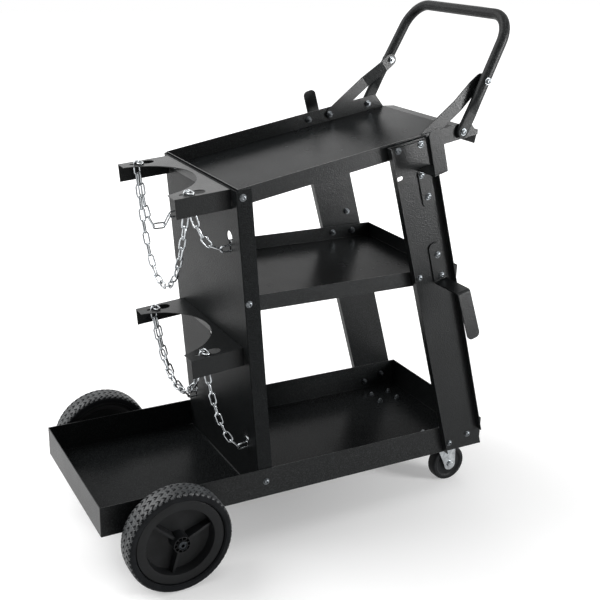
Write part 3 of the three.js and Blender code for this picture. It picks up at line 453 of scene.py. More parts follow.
def rounded_metal(name, node, finish, fold, floor_finish=None):
    """A piece of bent or cut metal as its node draws it, with rounded folds and eased cut edges."""
    source = frame["nodes"][node].data
    points = [vert.co.copy() for vert in source.vertices]
    faces = [list(polygon.vertices) for polygon in source.polygons]
    mesh = bpy.data.meshes.new(name)
    mesh.from_pydata(points, [], faces)
    bm = bmesh.new()
    bm.from_mesh(mesh)
    bmesh.ops.remove_doubles(bm, verts=bm.verts, dist=0.02 * MM)
    bmesh.ops.dissolve_degenerate(bm, edges=bm.edges, dist=0.01 * MM)
    bmesh.ops.join_triangles(
        bm,
        faces=bm.faces,
        angle_face_threshold=math.radians(0.5),
        angle_shape_threshold=math.pi,
    )
    bmesh.ops.recalc_face_normals(bm, faces=bm.faces)
    weights = bm.edges.layers.float.new("bevel_weight_edge")
    broad = 4 * MM
    for edge in bm.edges:
        if len(edge.link_faces) != 2 or edge.calc_face_angle(0.0) < math.radians(32):
            continue
        spans = [face.calc_area() / max(edge.calc_length(), 1e-6) for face in edge.link_faces]
        is_fold = min(spans) > broad and edge.calc_length() > broad
        edge[weights] = (1.0 if edge.is_convex else 0.4) if is_fold else 0.25
    if floor_finish:
        for face in bm.faces:
            face.material_index = 1 if face.normal.z > 0.9 and face.calc_area() > 0.01 else 0
    bm.to_mesh(mesh)
    bm.free()
    mesh.shade_smooth()
    mesh.materials.append(finishes()[finish])
    if floor_finish:
        mesh.materials.append(finishes()[floor_finish])
    piece = bpy.data.objects.new(name, mesh)
    bpy.context.scene.collection.objects.link(piece)
    bevel = piece.modifiers.new("eased edges", "BEVEL")
    bevel.limit_method = "WEIGHT"
    bevel.width = fold
    bevel.segments = 3
    normals = piece.modifiers.new("flat faces", "WEIGHTED_NORMAL")
    normals.weight = 80
    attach(piece, body_of(node))
    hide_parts(node)
    return piece


# Properties


def length(name, description, millimetres):
    return bpy.props.FloatProperty(
        name=name, description=description, default=millimetres * MM, min=0.0001, unit="LENGTH"
    )


class CartSizes(bpy.types.PropertyGroup):
    """Sizes of the cart's dressed pieces."""

    fold: length("Fold Radius", "Outside radius of the sheet metal's folds", 1.6)
    edge: length("Edge Radius", "How far the cut edges of thick strips are eased", 1.0)
    wire: length("Link Wire", "Diameter of the chain's wire", 3.4)
    link_pitch: length("Link Pitch", "Inside length of one chain link", 22.0)
    link_width: length("Link Width", "Outside width of one chain link", 14.0)
    bolt_head: length("Bolt Head", "Diameter of the bolts' round heads", 10.5)
    tread: length("Tread Depth", "Depth of the slits across the tyres' tread", 2.4)


def colour(name, description, hex_colour):
    return bpy.props.FloatVectorProperty(
        name=name,
        description=description,
        subtype="COLOR",
        size=4,
        min=0.0,
        max=1.0,
        default=linear(hex_colour),
    )


class CartColours(bpy.types.PropertyGroup):
    """Colours of the cart's finishes."""

    paint: colour("Paint", "Black powder coat on the sheet metal", "#0c0d0e")
    zinc: colour("Zinc", "Bright zinc on chains, bolts and forks", "#c4c8cb")
    # This darker zinc is painted shade. It stands in for the dark surroundings that the bolt heads reflect.
    bolt: colour("Bolts", "Dull zinc on bolts and nuts", "#74787b")
    steel: colour("Steel", "Turned steel of the axle", "#b4b8bb")
    rubber: colour("Rubber", "Rubber of tyres and casters", "#101113")
    plastic: colour("Plastic", "Plastic of the rims", "#0b0c0d")


def millimetres(value):
    return value / MM


# Operators


class CART_OT_sheet_metal(bpy.types.Operator):
    """Folds the trays, the panel, the posts and the bottle brackets"""

    bl_idname = "cart.sheet_metal"
    bl_label = "Sheet Metal"

    def execute(self, context):
        fold = context.scene.cart_sizes.fold
        for tray in ("base_tray", "middle_tray", "top_tray"):
            rounded_metal(tray + "_folded", tray, "paint", fold, "shelf")
        rounded_metal("front_panel_folded", "front_panel", "panel", fold)
        for bracket in ("upper_bottle_bracket", "lower_bottle_bracket"):
            rounded_metal(bracket + "_folded", bracket, "paint", fold)
        for side in SIDES:
            post = "rear_post_" + side
            rounded_metal(post + "_folded", post, "paint", fold)
        return {"FINISHED"}


class CART_OT_strip_metal(bpy.types.Operator):
    """Bends the cable hooks, the handle's braces and the axle's saddles"""

    bl_idname = "cart.strip_metal"
    bl_label = "Strip Metal"

    def execute(self, context):
        edge = context.scene.cart_sizes.edge
        for kind in ("upper_cable_hook", "lower_cable_hook", "handle_brace", "axle_saddle"):
            for side in SIDES:
                node = f"{kind}_{side}"
                rounded_metal(node + "_bent", node, "paint", edge)
        return {"FINISHED"}


HANDLE_HEIGHT = 229.6
HANDLE_BEND = 55
HANDLE_RADIUS = 10.14
HANDLE_FOOT_LENGTH = 32
HANDLE_FLARE = 34
HANDLE_FOOT_WIDE = 12.5
HANDLE_FOOT_THICK = 4
HANDLE_FOOT_Y = TRAY_SIDE + GAP + HANDLE_FOOT_THICK


def handle_leg_y(up):
    return HANDLE_FOOT_Y - max(0, up - HANDLE_FOOT_LENGTH) * math.tan(HANDLE_DRAW)


def handle_point(across, y, up):
    """A point in the plane of the leaning handle."""
    foot = top_tray_point(HANDLE_FOOT_ALONG, TOP_DEPTH / 2)
    x = foot.x + across * math.cos(HANDLE_LEAN) + up * math.sin(HANDLE_LEAN)
    z = foot.z - across * math.sin(HANDLE_LEAN) + up * math.cos(HANDLE_LEAN)
    return Vector((x, y, z))


class CART_OT_handle(bpy.types.Operator):
    """Bends the handle's tube and presses its feet flat"""

    bl_idname = "cart.handle"
    bl_label = "Handle"

    def execute(self, context):
        stations = []
        for step in range(7):
            share = step / 6
            up = -HANDLE_FOOT_WIDE + HANDLE_FOOT_WIDE * (1 - math.cos(share * math.pi / 2))
            narrow = max(0.22, math.sqrt(1 - (1 - (up + HANDLE_FOOT_WIDE) / HANDLE_FOOT_WIDE) ** 2))
            stations.append((HANDLE_FOOT_Y, up, 0.0, 1.0, narrow))
        for step in range(1, 11):
            up = HANDLE_FOOT_LENGTH + HANDLE_FLARE * step / 10
            share = step / 10
            flat = 1 - share * share * (3 - 2 * share)
            stations.append((handle_leg_y(up), up, HANDLE_DRAW * share, flat, 1.0))
        corner_y = handle_leg_y(HANDLE_HEIGHT)
        inset = HANDLE_BEND * math.tan((math.pi / 2 - HANDLE_DRAW) / 2)
        centre = (corner_y - inset, HANDLE_HEIGHT - HANDLE_BEND)
        for step in range(17):
            turn = HANDLE_DRAW + (math.pi / 2 - HANDLE_DRAW) * step / 16
            y = centre[0] + HANDLE_BEND * math.cos(turn)
            stations.append((y, centre[1] + HANDLE_BEND * math.sin(turn), turn, 0.0, 1.0))
        other = [(-y, up, math.pi - turn, flat, wide) for y, up, turn, flat, wide in stations]
        rings = []
        for y, up, turn, flat, wide in stations + other[::-1]:
            ring = []
            for j in range(32):
                angle = TAU * (j + 0.5) / 32
                c, s = math.cos(angle), math.sin(angle)
                straight = HANDLE_FOOT_WIDE - HANDLE_FOOT_THICK
                pressed = math.copysign(min(1, 3 * abs(c)), c) * straight + HANDLE_FOOT_THICK * c
                across = (flat * pressed + (1 - flat) * HANDLE_RADIUS * c) * wide
                out = (flat * HANDLE_FOOT_THICK + (1 - flat) * HANDLE_RADIUS) * s
                place = (across, y + out * math.cos(turn), up + out * math.sin(turn))
                ring.append(handle_point(*place))
            rings.append(ring)
        bm = bmesh.new()
        skin(bm, rings, looped=False, capped=True)
        make_piece("handle_tube_bent", bm, "gloss", nodes=["handle_tube"])
        return {"FINISHED"}


def pan_head(bm, origin, axis, radius):
    """A round bolt head on a washer, with a hexagon socket."""
    scale = radius / 6.5
    profile = [
        (0, 0),
        (8.0, 0),
        (8.2, 0.4),
        (8.0, 1.1),
        (6.5, 1.1),
        (6.5, 2.2),
        (6.2, 3.3),
        (5.2, 4.4),
        (3.6, 5.0),
        (2.9, 5.1),
        (2.5, 5.0, True),
        (2.5, 3.0, True),
        (0, 2.8),
    ]
    sized = [(r * scale, h * scale, *flats) for r, h, *flats in profile]
    turn_profile(bm, sized, place_at(origin, axis, 0.4), 24)


def hex_nut(bm, origin, axis, radius):
    """A hexagon nut on a washer, with the bolt's end standing out of it."""
    scale = radius / 6.5
    profile = [
        (0, 0),
        (8.2, 0),
        (8.2, 1.2),
        (6.5, 1.2, True),
        (6.5, 5.4, True),
        (6.4, 6.4),
        (4.2, 6.4),
        (4.0, 6.0),
        (3.9, 10.2),
        (3.2, 11.0),
        (0, 11.0),
    ]
    sized = [(r * scale, h * scale, *flats) for r, h, *flats in profile]
    turn_profile(bm, sized, place_at(origin, axis, 0.2), 24)


PANEL_BOLTS = [(275, 701), (288, 506)]
BASE_BOLT = (326.3, 140.7)
POST_FOOT_BOLTS = [(15.8, 15.6), (62.6, 14.6)]
POST_TRAY_BOLT = (17.4, 408.9)
LOWER_HOOK_BOLTS = [(63.7, 440.8), (64.7, 396)]
UPPER_HOOK_BOLTS = [(19.3, 670), (67.9, 665.9), (58.2, 608.4), (65.3, 562.8)]
BRACKET_HEIGHTS = {"upper": 712, "lower": 414}
BRACE_BOLT_UP = 102
BRACE_INNER = TRAY_SIDE - SHEET - GAP - 3


class CART_OT_fasteners(bpy.types.Operator):
    """Bolts the cart together, with nuts inside its walls"""

    bl_idname = "cart.fasteners"
    bl_label = "Bolts and Nuts"

    def execute(self, context):
        radius = millimetres(context.scene.cart_sizes.bolt_head) / 2
        for name, side in SIDES.items():
            out = Vector((0, side, 0))
            bm = bmesh.new()
            x, z = BASE_BOLT
            pan_head(bm, (x, side * BASE_SIDE, z), out, radius)
            hex_nut(bm, (x, side * (PANEL_SIDE - SHEET), z), -out, radius)
            for x, z in PANEL_BOLTS:
                pan_head(bm, (x, side * PANEL_SIDE, z), out, radius)
                hex_nut(bm, (x, side * (TRAY_SIDE - SHEET), z), -out, radius)
            make_piece("panel_bolts_" + name, bm, "bolt")
            bm = bmesh.new()
            for across, up in POST_FOOT_BOLTS:
                pan_head(bm, post_point(across, up, side * POST_WEB), out, radius)
                hex_nut(bm, post_point(across, up, side * (BASE_SIDE - SHEET)), -out, radius)
            pan_head(bm, post_point(*POST_TRAY_BOLT, side * POST_WEB), out, radius)
            for across, up in [POST_TRAY_BOLT, LOWER_HOOK_BOLTS[1]]:
                hex_nut(bm, post_point(across, up, side * (TRAY_SIDE - SHEET)), -out, radius)
            make_piece("post_bolts_" + name, bm, "bolt")
            bm = bmesh.new()
            for across, up in LOWER_HOOK_BOLTS + UPPER_HOOK_BOLTS[1:]:
                pan_head(bm, post_point(across, up, side * HOOK_FACE), out, radius)
            pan_head(bm, post_point(*UPPER_HOOK_BOLTS[0], side * HOOK_FACE), out, radius)
            for (across, up), face in zip(UPPER_HOOK_BOLTS, (TRAY_SIDE - SHEET, BRACE_INNER)):
                hex_nut(bm, post_point(across, up, side * face), -out, radius)
            for across, up in UPPER_HOOK_BOLTS[2:] + LOWER_HOOK_BOLTS[:1]:
                hex_nut(bm, post_point(across, up, side * (POST_WEB - SHEET)), -out, radius)
            make_piece("hook_bolts_" + name, bm, "bolt")
            bm = bmesh.new()
            pan_head(bm, handle_point(0, side * (HANDLE_FOOT_Y + HANDLE_FOOT_THICK), 0), out, radius)
            foot = top_tray_point(HANDLE_FOOT_ALONG, TOP_DEPTH / 2, side * (TRAY_SIDE - SHEET))
            hex_nut(bm, foot, -out, radius)
            lean = Vector((0, side * math.cos(HANDLE_DRAW), 0))
            up = BRACE_BOLT_UP
            tube = handle_point(0, side * (handle_leg_y(up) + HANDLE_RADIUS - 0.6), up)
            pan_head(bm, tube, lean, radius)
            inner = handle_point(0, side * (handle_leg_y(up + 12) - HANDLE_RADIUS - 3.3), up)
            hex_nut(bm, inner, -out, radius)
            make_piece("handle_bolts_" + name, bm, "bolt")
            bm = bmesh.new()
            for dx in (-23, 23):
                for dy in (-19, 19):
                    y = side * CASTER_Y + dy
                    hex_nut(bm, (CASTER_X + dx, y, BASE_FLOOR), (0, 0, 1), 5.2)
                    pan_head(bm, (CASTER_X + dx, y, BASE_FLOOR - SHEET - 2.5), (0, 0, -1), 5.2)
            make_piece("caster_bolts_" + name, bm, "bolt")
        for bracket, height in BRACKET_HEIGHTS.items():
            bm = bmesh.new()
            for y in (-105, 105):
                up = along_panel(height) - 12
                pan_head(bm, panel_point(-GAP - SHEET, y, up), -PANEL_BACK, radius)
                hex_nut(bm, panel_point(SHEET, y, up), PANEL_BACK, radius)
            make_piece(bracket + "_bracket_bolts", bm, "bolt")
        return {"FINISHED"}


LINK_BITE = 0.7
KEY_Y = 126
ARM_SEAT = -0.3 - 50 - 36 + 7 + 7
PANEL_SLOT_FOOT = 26 + 3.5
KEY_HEIGHTS = {"upper": 621, "lower": 224}
LOOP_LINKS = {"upper": 21, "lower": 15}
STRAND_LINKS = {
    "upper": {"left": 5, "right": 7},
    "lower": {"left": 9, "right": 9},
}


class ChainWire:
    """The sizes of one link, in millimetres."""

    def __init__(self, sizes):
        self.wire = millimetres(sizes.wire)
        self.pitch = millimetres(sizes.link_pitch)
        self.width = millimetres(sizes.link_width)
        self.radius = (self.width - self.wire) / 2
        self.straight = self.pitch / 2 - self.radius + self.wire / 2
        self.reach = self.pitch + LINK_BITE

    def link(self, bm, start, end, normal):
        """One welded link from the place where it bears at one end to the other."""
        along = (end - start).normalized()
        centre = (start + end) / 2
        across = normal.cross(along).normalized()
        flat = along.cross(across)
        rings = []
        for sign in (1, -1):
            for i in range(9):
                angle = math.pi * i / 8 - math.pi / 2 + (0 if sign > 0 else math.pi)
                out = along * math.cos(angle) + across * math.sin(angle)
                middle = centre + along * sign * self.straight + out * self.radius
                ring = []
                for j in range(10):
                    around = TAU * j / 10
                    ring.append(
                        middle
                        - out * math.cos(around) * self.wire / 2
                        + flat * math.sin(around) * self.wire / 2
                    )
                rings.append(ring)
        skin(bm, rings)

    def run(self, bm, points, plane_normal, edge_first):
        """Links along bearing points, each turned a quarter against the one before."""
        for i, (start, end) in enumerate(zip(points, points[1:])):
            along = (end - start).normalized()
            on_edge = (i % 2 == 0) == edge_first
            normal = along.cross(plane_normal).normalized() if on_edge else plane_normal
            self.link(bm, start, end, normal)

    def slot_links(self, bm, seat, inward, along):
        """The link that hangs through a slot and the cross link that holds it. Returns where it ends."""
        normal = Vector((0, 1, 0))
        keeper = seat - inward * (GAP + self.wire / 2)
        bearing = keeper + inward * (LINK_BITE - self.wire / 2)
        end = bearing + inward * self.pitch
        middle = keeper + along * self.radius
        half = normal * self.pitch / 2
        self.link(bm, bearing, end, normal)
        self.link(bm, middle - half, middle + half, inward)
        return end


def bisect(low, high, too_low):
    for _ in range(60):
        middle = (low + high) / 2
        if too_low(middle):
            low = middle
        else:
            high = middle
    return (low + high) / 2


def hanging_points(start, end, count, reach):
    """The bearing points of a hanging chain of equal links, whose slope grows by one step a link."""
    flat = Vector((end.x - start.x, end.y - start.y, 0))
    run, drop = flat.length, end.z - start.z
    flat.normalize()

    def shape(bow, tilt):
        angles = [math.atan(bow * (i - (count - 1) / 2) + tilt) for i in range(count)]
        across = sum(math.cos(angle) for angle in angles) * reach
        rise = sum(math.sin(angle) for angle in angles) * reach
        return angles, across, rise

    def tilt_for(bow):
        def too_low(tilt):
            _, across, rise = shape(bow, tilt)
            return rise * run < across * drop

        return bisect(-60, 60, too_low)

    def too_long(bow):
        _, across, rise = shape(bow, tilt_for(bow))
        return math.hypot(across, rise) > math.hypot(run, drop)

    bow = bisect(0, 40, too_long)
    points = [start.copy()]
    for angle in shape(bow, tilt_for(bow))[0]:
        step = flat * math.cos(angle) * reach
        step.z = math.sin(angle) * reach
        points.append(points[-1] + step)
    return points


class CART_OT_chains(bpy.types.Operator):
    """Hangs the bottle's chains, link by link"""

    bl_idname = "cart.chains"
    bl_label = "Chains"

    def execute(self, context):
        chain = ChainWire(context.scene.cart_sizes)
        sideways = Vector((0, 1, 0))
        for level, height in BRACKET_HEIGHTS.items():
            hold_up = along_panel(KEY_HEIGHTS[level]) - PANEL_SLOT_FOOT
            hold_up += GAP + chain.width / 2 + chain.wire / 2
            loop_ends = []
            for name, side in SIDES.items():
                bm = bmesh.new()
                y = side * KEY_Y
                seat = panel_point(ARM_SEAT, y, along_panel(height))
                arm_end = chain.slot_links(bm, seat, -PANEL_UP, PANEL_BACK)
                hold = panel_point(SHEET, y, hold_up)
                hold_end = chain.slot_links(bm, hold, -PANEL_BACK, PANEL_UP)
                bear = chain.width / 2 - chain.wire
                start = arm_end + Vector((0.9 * bear, 0, 0.6 * bear))
                count = STRAND_LINKS[level][name]
                points = hanging_points(start, hold_end, count, chain.reach)
                chain.run(bm, points, sideways, True)
                node = f"{level}_chain_{name}"
                make_piece(node + "_links", bm, "zinc", body_of(node), [node])
                loop_ends.append(arm_end + Vector((-1, 0, -chain.wire / 2)))
            count = LOOP_LINKS[level]
            slack = hanging_points(*loop_ends, count, chain.reach)
            outward = (slack[0] - slack[1]).normalized() * (chain.wire / 2 + 0.5)
            loop_ends[0] += outward
            loop_ends[1] += Vector((outward.x, -outward.y, outward.z))
            bm = bmesh.new()
            points = hanging_points(*loop_ends, count, chain.reach)
            chain.run(bm, points, Vector((1, 0, 0)), False)
            node = f"{level}_chain_loop"
            make_piece(node + "_links", bm, "zinc", body_of(node), [node])
        return {"FINISHED"}


TYRE_RADIUS = 100
TYRE_BEAD = 84.8
TYRE_HALF = 23.5
TREAD_HALF = TYRE_HALF - 0.9
TYRE_MIDDLE_Y = 217
TREAD_PITCHES = 52
TREAD_ROWS = 3
RIM_SEAT = 84.2
RIM_RING = 65.5
RIM_INNER_Y = 197.8
RIM_FACE_Y = 236.4
RIM_WEB_Y = 216.5
RIM_WEB = 5
RIB_TURN = math.radians(18.7)
HUB_RADIUS = 16.5
HUB_INNER_Y = 193.7
HUB_FACE_Y = 243.4
HUB_POCKETS = 10
AXLE_BORE = 7.4
AXLE_RADIUS = 7
AXLE_END_Y = 246


def zigzag(share):
    """A line that goes from -1 to 1 and back once a turn."""
    return 4 * abs(share % 1 - 0.5) - 1


def tread_depth(turn, across):
    """How deep the tread is cut, from 0 to 1. Slits slant across it in rows, joined by shallow cuts, and
    notches part the lugs on its shoulders."""
    row = across * TREAD_ROWS / 2
    slant = turn * TREAD_PITCHES + 0.42 * zigzag(row)
    off = abs(slant % 1 - 0.5)
    if abs(across) > 0.88:
        return max(0, 1 - (off / 0.24) ** 4)
    slit = (row + 0.25) % 1 < 0.5
    width = 0.17 if slit else 0.07
    return max(0, 1 - (off / width) ** 4) * (1 if slit else 0.55)


def tread_crown(across):
    return TYRE_RADIUS - 1.1 * across**2 - 2.6 * abs(across) ** 14


class CART_OT_wheels(bpy.types.Operator):
    """Moulds the tyres and rims, and turns the axle and its caps"""

    bl_idname = "cart.wheels"
    bl_label = "Wheels and Axle"

    def tyre(self, side, tread):
        """A tyre with a flat crown, square shoulders and slits across its tread."""
        shoulder = [
            (TYRE_BEAD, TYRE_HALF - 4.2),
            (TYRE_BEAD + 0.4, TYRE_HALF - 2.4),
            (TYRE_BEAD + 1.6, TYRE_HALF - 2.0),
            (TYRE_BEAD + 2.2, TYRE_HALF - 0.6),
            (91, TYRE_HALF),
            (94.6, TYRE_HALF - 0.2),
        ]
        bm = bmesh.new()
        rings = []
        steps = TREAD_PITCHES * 9
        for i in range(steps):
            turn = i / steps
            section = [(radius, -y) for radius, y in shoulder]
            for j in range(31):
                across = -1 + 2 * j / 30
                depth = tread * tread_depth(turn, across)
                section.append((tread_crown(across) - depth, across * TREAD_HALF))
            section += reversed(shoulder)
            angle = TAU * turn
            rings.append(
                [
                    WHEEL_PLACE
                    + Vector((r * math.cos(angle), side * (TYRE_MIDDLE_Y + y), r * math.sin(angle)))
                    for r, y in section
                ]
            )
        skin(bm, rings)
        return bm

    def rib(self, bm, place, foot, hub_top, ring_top):
        """A drafted rib from the hub to the rim's ring, standing on the web."""
        corners = []
        for reach, top in [(HUB_RADIUS - 1.5, hub_top), (RIM_RING - 0.5, ring_top)]:
            for across, height in [(-4, foot), (4, foot), (2.6, top), (-2.6, top)]:
                corners.append(bm.verts.new(place @ Vector((reach, across, height))))
        near, far = corners[:4], corners[4:]
        faces = [bm.faces.new(near), bm.faces.new(far)]
        for i in range(4):
            faces.append(bm.faces.new((near[i - 1], near[i], far[i], far[i - 1])))
        bmesh.ops.recalc_face_normals(bm, faces=faces)
        edges = {edge for face in faces for edge in face.edges}
        bmesh.ops.bevel(bm, geom=list(edges), offset=0.9, segments=2, profile=0.7, affect="EDGES")

    def rim(self, side):
        """A moulded rim: a ring, a deep web with three ribs on each face, and a hub with pockets."""
        bm = bmesh.new()
        pocket = (9.8, 14.5)
        profile = [
            (AXLE_BORE, HUB_INNER_Y),
            (HUB_RADIUS, HUB_INNER_Y),
            (HUB_RADIUS, RIM_WEB_Y - RIM_WEB),
            (RIM_RING - 1, RIM_WEB_Y - RIM_WEB),
            (RIM_SEAT - 6, RIM_INNER_Y),
            (RIM_SEAT, RIM_INNER_Y),
            (RIM_SEAT, RIM_FACE_Y - 2.2),
            (RIM_SEAT - 1.2, RIM_FACE_Y),
            (RIM_RING, RIM_FACE_Y - 0.8),
            (RIM_RING - 3, RIM_WEB_Y),
            (HUB_RADIUS + 0.2, RIM_WEB_Y),
            (HUB_RADIUS - 0.2, HUB_FACE_Y),
            (pocket[1], HUB_FACE_Y),
            (pocket[1], HUB_FACE_Y - 6),
            (pocket[0], HUB_FACE_Y - 6),
            (pocket[0], HUB_FACE_Y),
            (AXLE_BORE, HUB_FACE_Y),
        ]
        place = place_at(WHEEL_PLACE, (0, side, 0))
        turn_profile(bm, rounded(profile, 1.2, 2), place, 96)
        start = Matrix.Rotation(self.first_rib(place), 4, "Z")
        for i in range(3):
            turned = place @ start @ Matrix.Rotation(TAU * i / 3, 4, "Z")
            self.rib(bm, turned, RIM_WEB_Y - 1, RIM_FACE_Y - 0.5, RIM_FACE_Y - 8)
            self.rib(bm, turned, RIM_WEB_Y - RIM_WEB + 1, HUB_INNER_Y + 6, RIM_INNER_Y + 5)
        for i in range(HUB_POCKETS):
            turned = place @ Matrix.Rotation(TAU * i / HUB_POCKETS, 4, "Z")
            low = (pocket[0] - 0.6, -0.8, HUB_FACE_Y - 6.4)
            block(bm, low, (pocket[1] + 0.6, 0.8, HUB_FACE_Y - 0.3), turned, 0.3)
        return bm

    def first_rib(self, place):
        """The turn about the wheel's own axis that points a rib forward and up, as on the frame."""
        aim = place.to_3x3().inverted() @ Vector((math.cos(RIB_TURN), 0, math.sin(RIB_TURN)))
        return math.atan2(aim.y, aim.x)

    def execute(self, context):
        tread = millimetres(context.scene.cart_sizes.tread)
        for name, side in SIDES.items():
            body = name + "_wheel"
            tyre = make_piece(
                "tyre_tread_" + name,
                self.tyre(side, tread),
                "tyre",
                body,
                ["tyre_" + name],
            )
            tyre.data.materials.append(finishes()["tread"])
            centre = to_frame(WHEEL_PLACE)
            # Faces on the tread's top take the paler tread rubber, and the slits, shoulders and sides keep
            # the dark tyre rubber. The pale tops are partly wear and partly painted light, and the dark
            # slits are partly painted shade.
            for face in tyre.data.polygons:
                arm = (face.center - centre) / MM
                across = (abs(arm.y) - TYRE_MIDDLE_Y) / TREAD_HALF
                is_top = math.hypot(arm.x, arm.z) > tread_crown(across) - 0.8
                face.material_index = int(abs(across) < 0.99 and is_top)
            make_piece(
                "rim_moulded_" + name,
                self.rim(side),
                "plastic",
                body,
                ["rim_" + name],
            )
            low, high = (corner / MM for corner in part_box("axle_cap_" + name))
            start = min(abs(low.y), abs(high.y))
            bm = bmesh.new()
            profile = rounded([(7.2, 0), (8.9, 0), (8.9, 2.4), (7.8, 3.6), (7.2, 3.6)], 0.6)
            turn_profile(bm, profile, place_at(WHEEL_PLACE + Vector((0, side * start, 0)), (0, side, 0)), 36)
            make_piece("axle_cap_pressed_" + name, bm, "dark", nodes=["axle_cap_" + name])
            rounded_metal("axle_spacer_turned_" + name, "axle_spacer_" + name, "steel", 0.0006)
        bm = bmesh.new()
        half = [(3.0, AXLE_END_Y - 6), (3.4, AXLE_END_Y), (6.2, AXLE_END_Y), (7.0, AXLE_END_Y - 0.8)]
        profile = [(0, -AXLE_END_Y + 6)] + [(radius, -y) for radius, y in half]
        profile += [*reversed(half), (0, AXLE_END_Y - 6)]
        turn_profile(bm, profile, place_at(WHEEL_PLACE, (0, 1, 0)), 36)
        make_piece("axle_turned", bm, "dark", nodes=["axle"])
        return {"FINISHED"}


CASTER_SECTION = [
    (4.4, 11.9),
    (11.5, 11.9),
    (12, 10),
    (26.5, 9.2),
    (29, 10.2),
    (30.5, 11.9),
    (37, 11.9),
    (CASTER_ROUND - 1, 10.4),
    (CASTER_ROUND, 7),
]


class CART_OT_casters(bpy.types.Operator):
    """Presses the casters' plates and forks and moulds their wheels"""

    bl_idname = "cart.casters"
    bl_label = "Casters"

    def execute(self, context):
        edge = context.scene.cart_sizes.edge
        for name, side in SIDES.items():
            for kind in ("plate", "fork", "axle"):
                node = f"caster_{kind}_{name}"
                rounded_metal(node + "_pressed", node, "zinc", edge)
            bm = bmesh.new()
            profile = CASTER_SECTION + [(radius, -y) for radius, y in reversed(CASTER_SECTION)]
            centre = (CASTER_X + CASTER_TRAIL, side * CASTER_Y, CASTER_RADIUS)
            turn_profile(bm, rounded(profile, 1.6), place_at(centre, (0, side, 0)), 64)
            node = "caster_wheel_" + name
            make_piece(node + "_moulded", bm, "caster", body_of(node), [node])
        return {"FINISHED"}


CAMERA_PLACE = Vector((-0.858322, -1.70212, 1.13521))
CAMERA_TURN = math.radians(-28.416)
CAMERA_RISE = math.radians(20.053)
CAMERA_ROLL = math.radians(1.476)
CAMERA_LENS = 61.307


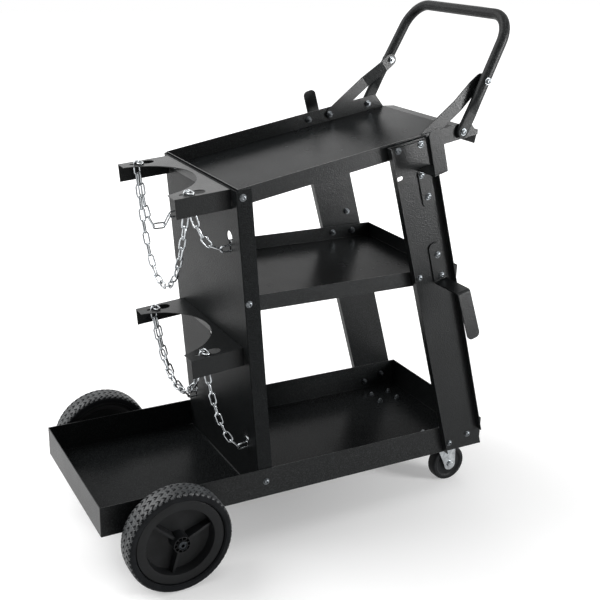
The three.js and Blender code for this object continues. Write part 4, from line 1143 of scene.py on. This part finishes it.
class CART_OT_stage(bpy.types.Operator):
    """Sets the floor, the lamps, the white surround and the camera"""

    bl_idname = "cart.stage"
    bl_label = "Stage"

    def seen_directly(self, tree):
        """A socket that is 1 for what the camera, the shine and clear things see, and 0 for light."""
        path = add_node(tree, "LightPath")
        shine = add_node(
            tree,
            "Math",
            {"operation": "MAXIMUM"},
            {0: path.outputs["Is Glossy Ray"], 1: path.outputs["Is Transmission Ray"]},
        )
        seen = add_node(
            tree,
            "Math",
            {"operation": "MAXIMUM"},
            {0: path.outputs["Is Camera Ray"], 1: shine.outputs["Value"]},
        )
        return seen.outputs["Value"]

    def floor(self):
        """A white paper sweep, matt, that keeps the cart's soft shadow and runs out into the white. Its glow
        is lowest at the cart's middle and rises to white 2 m out, which paints shade round the cart for the
        camera and in reflections.
        """
        material, tree = new_material("white_paper")
        seen = self.seen_directly(tree)
        place = add_node(tree, "TexCoord").outputs["Object"]
        fibres = add_node(
            tree, "TexNoise", {"Scale": per_metre(2), "Detail": 2.0}, {"Vector": place}
        )
        relief = add_node(
            tree,
            "Bump",
            {"Strength": 0.05, "Distance": 0.1 * MM},
            {"Height": fibres.outputs["Fac"]},
        )
        matt = add_node(
            tree, "BsdfDiffuse", {"Color": linear("#e2e2e2")}, {"Normal": relief.outputs["Normal"]}
        )
        away = add_node(tree, "VectorMath", {"operation": "LENGTH"}, {0: place})
        # Painted shade: the glow is dimmest near the cart and rises to full white 2 m away.
        glow_with_painted_shade = add_node(
            tree,
            "MapRange",
            {"From Min": 0.05, "From Max": 2.0, "To Min": 0.18, "To Max": 1.0},
            {"Value": away.outputs["Value"]},
        )
        strength = add_node(
            tree, "Math", {"operation": "MULTIPLY"}, {0: seen, 1: glow_with_painted_shade.outputs["Result"]}
        )
        lift = add_node(
            tree,
            "Emission",
            {"Color": linear("#ffffff")},
            {"Strength": strength.outputs["Value"]},
        )
        both = add_node(
            tree, "AddShader", links={0: matt.outputs["BSDF"], 1: lift.outputs["Emission"]}
        )
        add_node(tree, "OutputMaterial", links={"Surface": both.outputs["Shader"]})
        mesh = bpy.data.meshes.new("floor")
        reach = 12
        corners = [(-reach, -reach, 0), (reach, -reach, 0), (reach, reach, 0), (-reach, reach, 0)]
        mesh.from_pydata(corners, [], [(0, 1, 2, 3)])
        mesh.materials.append(material)
        floor = bpy.data.objects.new("floor", mesh)
        bpy.context.scene.collection.objects.link(floor)

    def lamp(self, name, place, target, size, power, spread=180):
        light = bpy.data.lights.new(name, "AREA")
        light.shape = "RECTANGLE"
        light.size, light.size_y = size
        light.energy = power
        light.spread = math.radians(spread)
        lamp = bpy.data.objects.new(name, light)
        lamp.location = place
        aim = Vector(target) - Vector(place)
        lamp.rotation_euler = aim.to_track_quat("-Z", "Y").to_euler()
        bpy.context.scene.collection.objects.link(lamp)

    def surround(self):
        """A white surround that the camera and the shine see, and a softer one that lights the cart."""
        world = bpy.data.worlds.new("white surround")
        world.use_nodes = True
        tree = world.node_tree
        tree.nodes.clear()
        seen = self.seen_directly(tree)
        strength = add_node(
            tree,
            "MapRange",
            {"To Min": 0.3, "To Max": 1.0},
            {"Value": seen},
        )
        back = add_node(
            tree,
            "Background",
            {"Color": linear("#ffffff")},
            {"Strength": strength.outputs["Result"]},
        )
        add_node(tree, "OutputWorld", links={"Surface": back.outputs["Background"]})
        bpy.context.scene.world = world

    def camera(self):
        turn, rise = CAMERA_TURN, CAMERA_RISE
        back = Vector(
            (
                math.sin(turn) * math.cos(rise),
                -math.cos(turn) * math.cos(rise),
                math.sin(rise),
            )
        )
        right = Vector((math.cos(turn), math.sin(turn), 0))
        up = back.cross(right)
        c, s = math.cos(CAMERA_ROLL), math.sin(CAMERA_ROLL)
        right, up = c * right + s * up, c * up - s * right
        data = bpy.data.cameras.new("camera")
        data.sensor_width = 36
        data.lens = CAMERA_LENS
        camera = bpy.data.objects.new("camera", data)
        camera.matrix_world = Matrix.Translation(CAMERA_PLACE) @ Matrix(
            (right, up, back)
        ).transposed().to_4x4()
        bpy.context.scene.collection.objects.link(camera)
        bpy.context.scene.camera = camera

    def execute(self, context):
        self.floor()
        self.surround()
        self.lamp("key softbox", (-2.0, 1.4, 2.7), (0, 0, 0.2), (2.8, 2.8), 120)
        self.lamp("top softbox", (0.2, -0.8, 3.2), (0, 0, 0.3), (1.6, 1.6), 14)
        self.lamp("back softbox", (0.95, 2.6, 1.7), (0, 0, 0.7), (1.6, 1.0), 5.5)
        self.lamp("side softbox", (1.75, -1.75, 0.95), (0.35, -0.15, 0.8), (0.8, 1.3), 13, 60)
        self.camera()
        context.scene.view_settings.view_transform = "Standard"
        return {"FINISHED"}


class CART_PT_panel(bpy.types.Panel):
    """Lists the cart's sizes, colours and pieces"""

    bl_idname = "CART_PT_panel"
    bl_label = "Welding Cart"
    bl_space_type = "VIEW_3D"
    bl_region_type = "UI"
    bl_category = "Welding Cart"

    def draw(self, context):
        column = self.layout.column()
        for group in (context.scene.cart_sizes, context.scene.cart_colours):
            for name in group.__annotations__:
                column.prop(group, name)
        for operator in OPERATORS:
            column.operator(operator.bl_idname)


OPERATORS = (
    CART_OT_sheet_metal,
    CART_OT_strip_metal,
    CART_OT_handle,
    CART_OT_fasteners,
    CART_OT_chains,
    CART_OT_wheels,
    CART_OT_casters,
    CART_OT_stage,
)
CLASSES = (CartSizes, CartColours, *OPERATORS, CART_PT_panel)


def register():
    for cls in CLASSES:
        bpy.utils.register_class(cls)
    bpy.types.Scene.cart_sizes = bpy.props.PointerProperty(type=CartSizes)
    bpy.types.Scene.cart_colours = bpy.props.PointerProperty(type=CartColours)


def unregister():
    del bpy.types.Scene.cart_colours
    del bpy.types.Scene.cart_sizes
    for cls in reversed(CLASSES):
        bpy.utils.unregister_class(cls)


def main():
    register()
    bpy.ops.cart.sheet_metal()
    bpy.ops.cart.strip_metal()
    bpy.ops.cart.handle()
    bpy.ops.cart.fasteners()
    bpy.ops.cart.chains()
    bpy.ops.cart.wheels()
    bpy.ops.cart.casters()
    bpy.ops.cart.stage()


if __name__ == "__main__":
    main()
